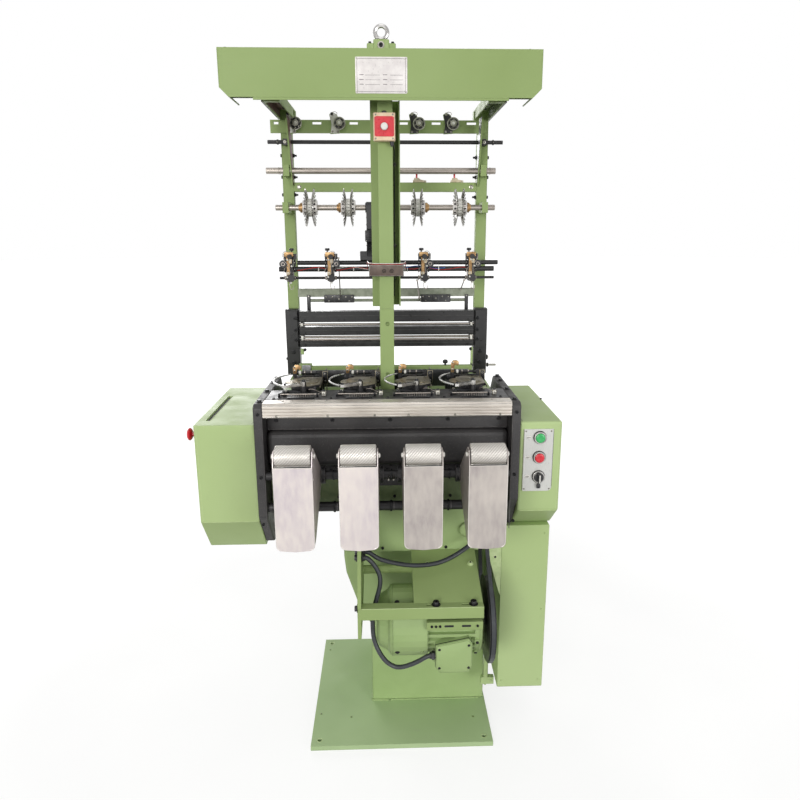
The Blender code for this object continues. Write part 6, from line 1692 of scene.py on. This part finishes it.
def dressMotor():
    gland = (-0.394, 0.416)
    bm = newShape()
    paint, bolt, dark, black = range(4)
    y, z = motor["y"], motor["z"]
    left = motor["left"]
    for r in (0.058, 0.049, 0.04, 0.031, 0.022):
        addRing(bm, (left, y, z), toLeft, r - 0.0022, r, 0.0016, paint, 44)
        # painted shade in the gaps between the grille rings
        addRing(bm, (left + 0.0001, y, z), toLeft, r - 0.0066, r - 0.0026, 0.0005, dark, 40)
    for turn in range(30, 390, 60):
        out = radial(turn)
        addRod(bm, Vector((left - 0.0008, y, z)) + out * 0.012, Vector((left - 0.0008, y, z)) + out * 0.06,
               0.0018, paint, 8)
    addTurned(bm, (left, y, z), toLeft, [(0, 0), (0, 0.012), (0.0016, 0.012), (0.003, 0.01), (0.0032, 0)],
              paint, 24)
    for turn in range(32, 392, 90):
        out = radial(turn)
        addScrew(bm, Vector((0.02, y, z)) + out * 0.0998, out, 0.0048, "cross", bolt, dark, washer=0.007)
        addScrew(bm, Vector((0.2615, y, z)) + out * 0.076, toRight, 0.005, "hex", bolt, dark)
        addScrew(bm, Vector((0.09, y, z)) + out * 0.0998, out, 0.004, "dome", paint, dark)
    for x in (0.006, 0.1035):
        addRing(bm, (x, y, z), toRight, motor["fan"] - 0.0006, motor["fan"] + 0.0009, 0.0024, paint, 56)
    for x in (0.2375, 0.25):
        addRing(bm, (x, y, z), toRight, 0.089, 0.0915 if x < 0.24 else 0.096, 0.0026, paint, 56)
    for turn in (125, 158, 192, 228):
        out = radial(turn)
        addRing(bm, Vector((0.244, y, z)) + out * 0.0885, out, 0.003, 0.0085, 0.0085, paint, 16)
        addScrew(bm, Vector((0.244, y, z)) + out * 0.0968, out, 0.0046, "hex", bolt, dark)
    lid = [(0.128, 0.3815), (0.139, 0.3685), (0.2145, 0.3685), (0.2255, 0.3815), (0.2255, 0.4525),
           (0.2165, 0.4668), (0.128, 0.4488)]
    addPlate(bm, "Y", roundCorners(lid, 0.005, 3), -0.405, -0.4016, paint, 0.001)
    # painted shade in the gap round the lid
    band = [(0.1252, 0.3795), (0.1378, 0.3655), (0.2162, 0.3655), (0.2288, 0.3795), (0.2288, 0.454),
            (0.218, 0.4706), (0.1252, 0.4506)]
    addPlate(bm, "Y", band, -0.3962, -0.3942, dark)
    for x, v in ((0.136, 0.382), (0.218, 0.382), (0.218, 0.452), (0.136, 0.44)):
        addScrew(bm, (x, -0.4048, v), ahead, 0.0038, "cross", bolt, dark)
    for v in (0.39, 0.443):
        addTurned(bm, (0.1262, -0.372, v), toLeft, [(0, 0), (0, 0.0085), (0.003, 0.0085), (0.0044, 0.007),
                (0.0046, 0)], paint, 20)
    addRing(bm, (0.1258, *gland), toLeft, 0.0067, 0.0112, 0.004, black, 24)
    addRing(bm, (0.1218, *gland), toLeft, 0.0067, 0.0124, 0.007, black, 6)
    addRing(bm, (0.115, *gland), toLeft, 0.0066, 0.0094, 0.006, black, 20)
    for x, v in ((0.124, 0.56), (0.218, 0.56)):
        addScrew(bm, (x, -0.3684, v), ahead, 0.0052, "hex", bolt, dark)
    makePiece("motorTrim", bm, "greenCast blackBolt darkHollow blackPlastic")


# A hose gland: hexagon nut and round collar
def addGland(bm, spot, direction, mat):
    addRing(bm, spot, direction, 0.0067, 0.0112, 0.005, mat, 6)
    addRing(bm, Vector(spot) + Vector(direction) * 0.005, direction, 0.0066, 0.0092, 0.0055, mat, 20)


# Cradle: slotted second bar, shelf bolts, slope screws and hose fittings
cradle = {"shelfTop": 0.5763, "slope": ((0.237, -0.25), (0.11, -0.25))}


# Height of the cradle's sloping sheet
def slopeAt(y):
    slopeStart, slopeDeep, slopeRise = -0.383, 0.1927, 0.0617
    return cradle["shelfTop"] + (y - slopeStart) / slopeDeep * slopeRise


def dressCradle():
    bm = newShape()
    paint, bolt, dark, black, light = range(5)
    top = cradle["shelfTop"]
    lean = (0, -0.305, 0.952)
    for x in (0.126, 0.229):
        addRing(bm, (x, -0.399, top), up, 0.004, 0.0125, 0.0016, bolt, 24)
        addScrew(bm, (x, -0.399, top + 0.0015), up, 0.0088, "socket", bolt, dark)
        addRod(bm, (x, -0.399, top - 0.0062), (x, -0.399, top - 0.017), 0.004, bolt, 12, 0.0008)
    # painted highlight: the slope screws' heads take the lighter green
    for x, y in cradle["slope"]:
        z = slopeAt(y)
        addScrew(bm, (x, y, z - 0.0004), lean, 0.0062, "socket", light, dark, washer=0.0092)
    for x, y in ((0.202, -0.29), (0.134, -0.3245), (0.222, -0.33), (0.086, -0.3)):
        z = slopeAt(y)
        addRing(bm, (x, y, z - 0.0004), lean, 0.0018, 0.004, 0.0008, paint, 18)
        addTurned(bm, (x, y, z - 0.0002), lean, [(0, 0.002), (0.0003, 0.0018), (0.0002, 0)], dark, 12)
    # painted highlight along the shelf's front edge
    addLine(bm, "X", (-0.077, 0.2545), (-0.4144, top - 0.0006), 0.001, light)
    addScrew(bm, (-0.088, -0.408, 0.575), toLeft, 0.0078, "hex", bolt, dark, washer=0.0112)
    for y, z in ((-0.215, 0.589), (-0.225, 0.72), (-0.225, 0.56)):
        addScrew(bm, (-0.088, y, z), toLeft, 0.0066, "hex", bolt, dark, washer=0.01)
    bar = [(0.101, 0.495), (0.257, 0.495), (0.257, 0.52), (0.101, 0.52)]
    addPlate(bm, "Y", roundCorners(bar, 0.003, 3), -0.3965, -0.3935, paint, 0.0006)
    addBlock(bm, (0.101, -0.3945, 0.517), (0.257, -0.38, 0.52), 0.0006, paint)
    for x in (0.115, 0.242):
        addBlock(bm, (x - 0.006, -0.394, 0.499), (x + 0.006, -0.364, 0.516), 0.001, paint)
    for x0, x1 in ((0.15, 0.176), (0.198, 0.224)):
        # painted shade in the bar's slots
        slot = oblong((x0, 0.5045), (x1, 0.511), 0.0032, 4)
        addPlate(bm, "Y", slot, -0.3968, -0.3962, dark)
    for x in (0.115, 0.1266, 0.138, 0.242):
        addScrew(bm, (x, -0.3965, 0.508), ahead, 0.0034, "socket", bolt, dark)
    for y, z in ((-0.33, 0.686), (-0.3, 0.688)):
        addGland(bm, (-0.0778, y, z), toRight, black)
        addTurned(bm, (-0.088, y, z), toLeft, [(0, 0), (0, 0.0112), (0.005, 0.0112), (0.0056, 0.008),
                (0.009, 0.0076), (0.0096, 0.005), (0.0096, 0)], black, 18)
    addGland(bm, (0.258, -0.1903, 0.689), ahead, black)
    makePiece("cradleTrim", bm, "paint blackBolt darkHollow blackPlastic edgeGreen")


# An uneven weld bead along a route
def addBead(bm, points, radius, mat):
    route = []
    for one, two in zip(points, points[1:]):
        one, two = Vector(one), Vector(two)
        count = max(int((two - one).length / 0.006), 2)
        for i in range(count):
            shake = Vector((random.uniform(-1, 1), random.uniform(-1, 1), random.uniform(-0.4, 0.4)))
            route.append(one.lerp(two, i / count) + shake * 0.0005)
    radii = [radius * (1 + 0.25 * math.sin(i * 2.1) + random.uniform(-0.12, 0.12)) for i in range(len(route))]
    addTube(bm, route, radius, mat, 8, radii=radii)


# Bed, pedestal and base plate: boss caps, weld beads, bolts and small holes
def dressBase():
    bm = newShape()
    cast, bolt, dark, light = range(4)
    for x, z in ((0.118, 0.724), (0.23, 0.704)):
        addTurned(bm, (x, -0.2, z), ahead, [(-0.0002, 0.0195), (0.001, 0.019), (0.0016, 0.012),
                (0.0012, 0.008), (0.0004, 0)], cast, 32)
    for x in (-0.115, -0.02, 0.075, 0.17, 0.25):
        addScrew(bm, (x, -0.19, 0.6455), ahead, 0.0044, "socket", bolt, dark)
    foot = 0.0175
    addBead(bm, [(-0.0615, 0.262, foot), (-0.0615, -0.0585, foot), (0.0, -0.059, foot)], 0.0034, cast)
    addBead(bm, [(0.0, -0.059, foot), (0.306, -0.059, foot)], 0.0026, cast)
    addBead(bm, [(0.3145, -0.05, foot), (0.3145, 0.262, foot), (0.302, 0.2705, foot), (-0.05, 0.2705, foot)],
            0.0026, cast)
    for x, y in ((-0.228, 0.236), (-0.23, -0.12), (-0.13, -0.138), (0.27, -0.15)):
        addRing(bm, (x, y, 0.016), up, 0.002, 0.0048, 0.0004, cast, 18)
        addTurned(bm, (x, y, 0.0161), up, [(0, 0.003), (0.0002, 0.0024), (0.0001, 0)], dark, 16)
    # painted highlight: lighter green rings round the corner holes
    for x in (-0.224, 0.293):
        for y in (-0.239, 0.277):
            addRing(bm, (x, y, 0.0159), up, 0.007, 0.0092, 0.0005, light, 28)
    for x in (-0.02, 0.12, 0.27):
        for z in (0.1, 0.42):
            addScrew(bm, (x, 0.27, z), behind, 0.006, "hex", bolt, dark, washer=0.009)
    makePiece("baseTrim", bm, "greenCast blackBolt darkHollow edgeGreen")


# Two conduits held at both ends
hoses = {
    "motor_hose": [(0.1257, -0.394, 0.416), (0.106, -0.394, 0.416), (0.073, -0.388, 0.39),
                   (0.03, -0.376, 0.366), (0.005, -0.368, 0.366),
                   (-0.022, -0.36, 0.386), (-0.046, -0.347, 0.432), (-0.05, -0.342, 0.478),
                   (-0.048, -0.34, 0.523), (-0.036, -0.338, 0.568),
                   (-0.026, -0.335, 0.603), (-0.027, -0.33, 0.633), (-0.042, -0.33, 0.663),
                   (-0.062, -0.33, 0.686), (-0.0777, -0.33, 0.686)],
    "supply_hose": [(-0.0777, -0.3, 0.688), (-0.058, -0.3, 0.688), (-0.03, -0.3, 0.664), (0.029, -0.3, 0.648),
                    (0.076, -0.3, 0.642),
                    (0.132, -0.296, 0.644), (0.18, -0.28, 0.656), (0.225, -0.2603, 0.676),
                    (0.258, -0.2283, 0.689), (0.258, -0.1903, 0.689)],
}


def layHose(node, points):
    route = smoothRoute(points, 2)
    line = bpy.data.curves.new(node + "Line", "CURVE")
    line.dimensions = "3D"
    line.bevel_depth = 0.0065
    line.bevel_resolution = 5
    line.use_fill_caps = True
    spline = line.splines.new("POLY")
    spline.points.add(len(route) - 1)
    for point, spot in zip(spline.points, route):
        point.co = (*spot, 1.0)
    spline.use_smooth = True
    line.materials.append(finish["hose"])
    piece = bpy.data.objects.new(node + "Run", line)
    bpy.context.scene.collection.objects.link(piece)
    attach(piece, "frame")
    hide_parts(node)


def dressPulleys():
    for body, y, z, r in (("motor_pulley", motor["y"], motor["z"], 0.122),
                          ("main_pulley", -0.125, 0.704, 0.052)):
        bm = newShape()
        x = 0.294
        addRing(bm, (x - 0.0002, y, z), toRight, r * 0.8, r * 0.965, 0.001, 0, 48)
        for turn in range(0, 360, 60):
            out = radial(turn)
            addScrew(bm, Vector((x, y, z)) + out * (r * 0.34 + 0.01), toRight, 0.0042, "socket", 0, 1)
        addScrew(bm, (x + 0.0029, y, z), toRight, 0.0075, "hex", 0, 1, washer=0.012)
        makePiece("pulleyTrim." + body.split("_")[0], bm, "blackBolt darkHollow", body)


dressMotor()
dressCradle()
dressBase()
for node, points in hoses.items():
    layHose(node, points)
dressPulleys()
print("motor, cradle, base and hoses dressed")
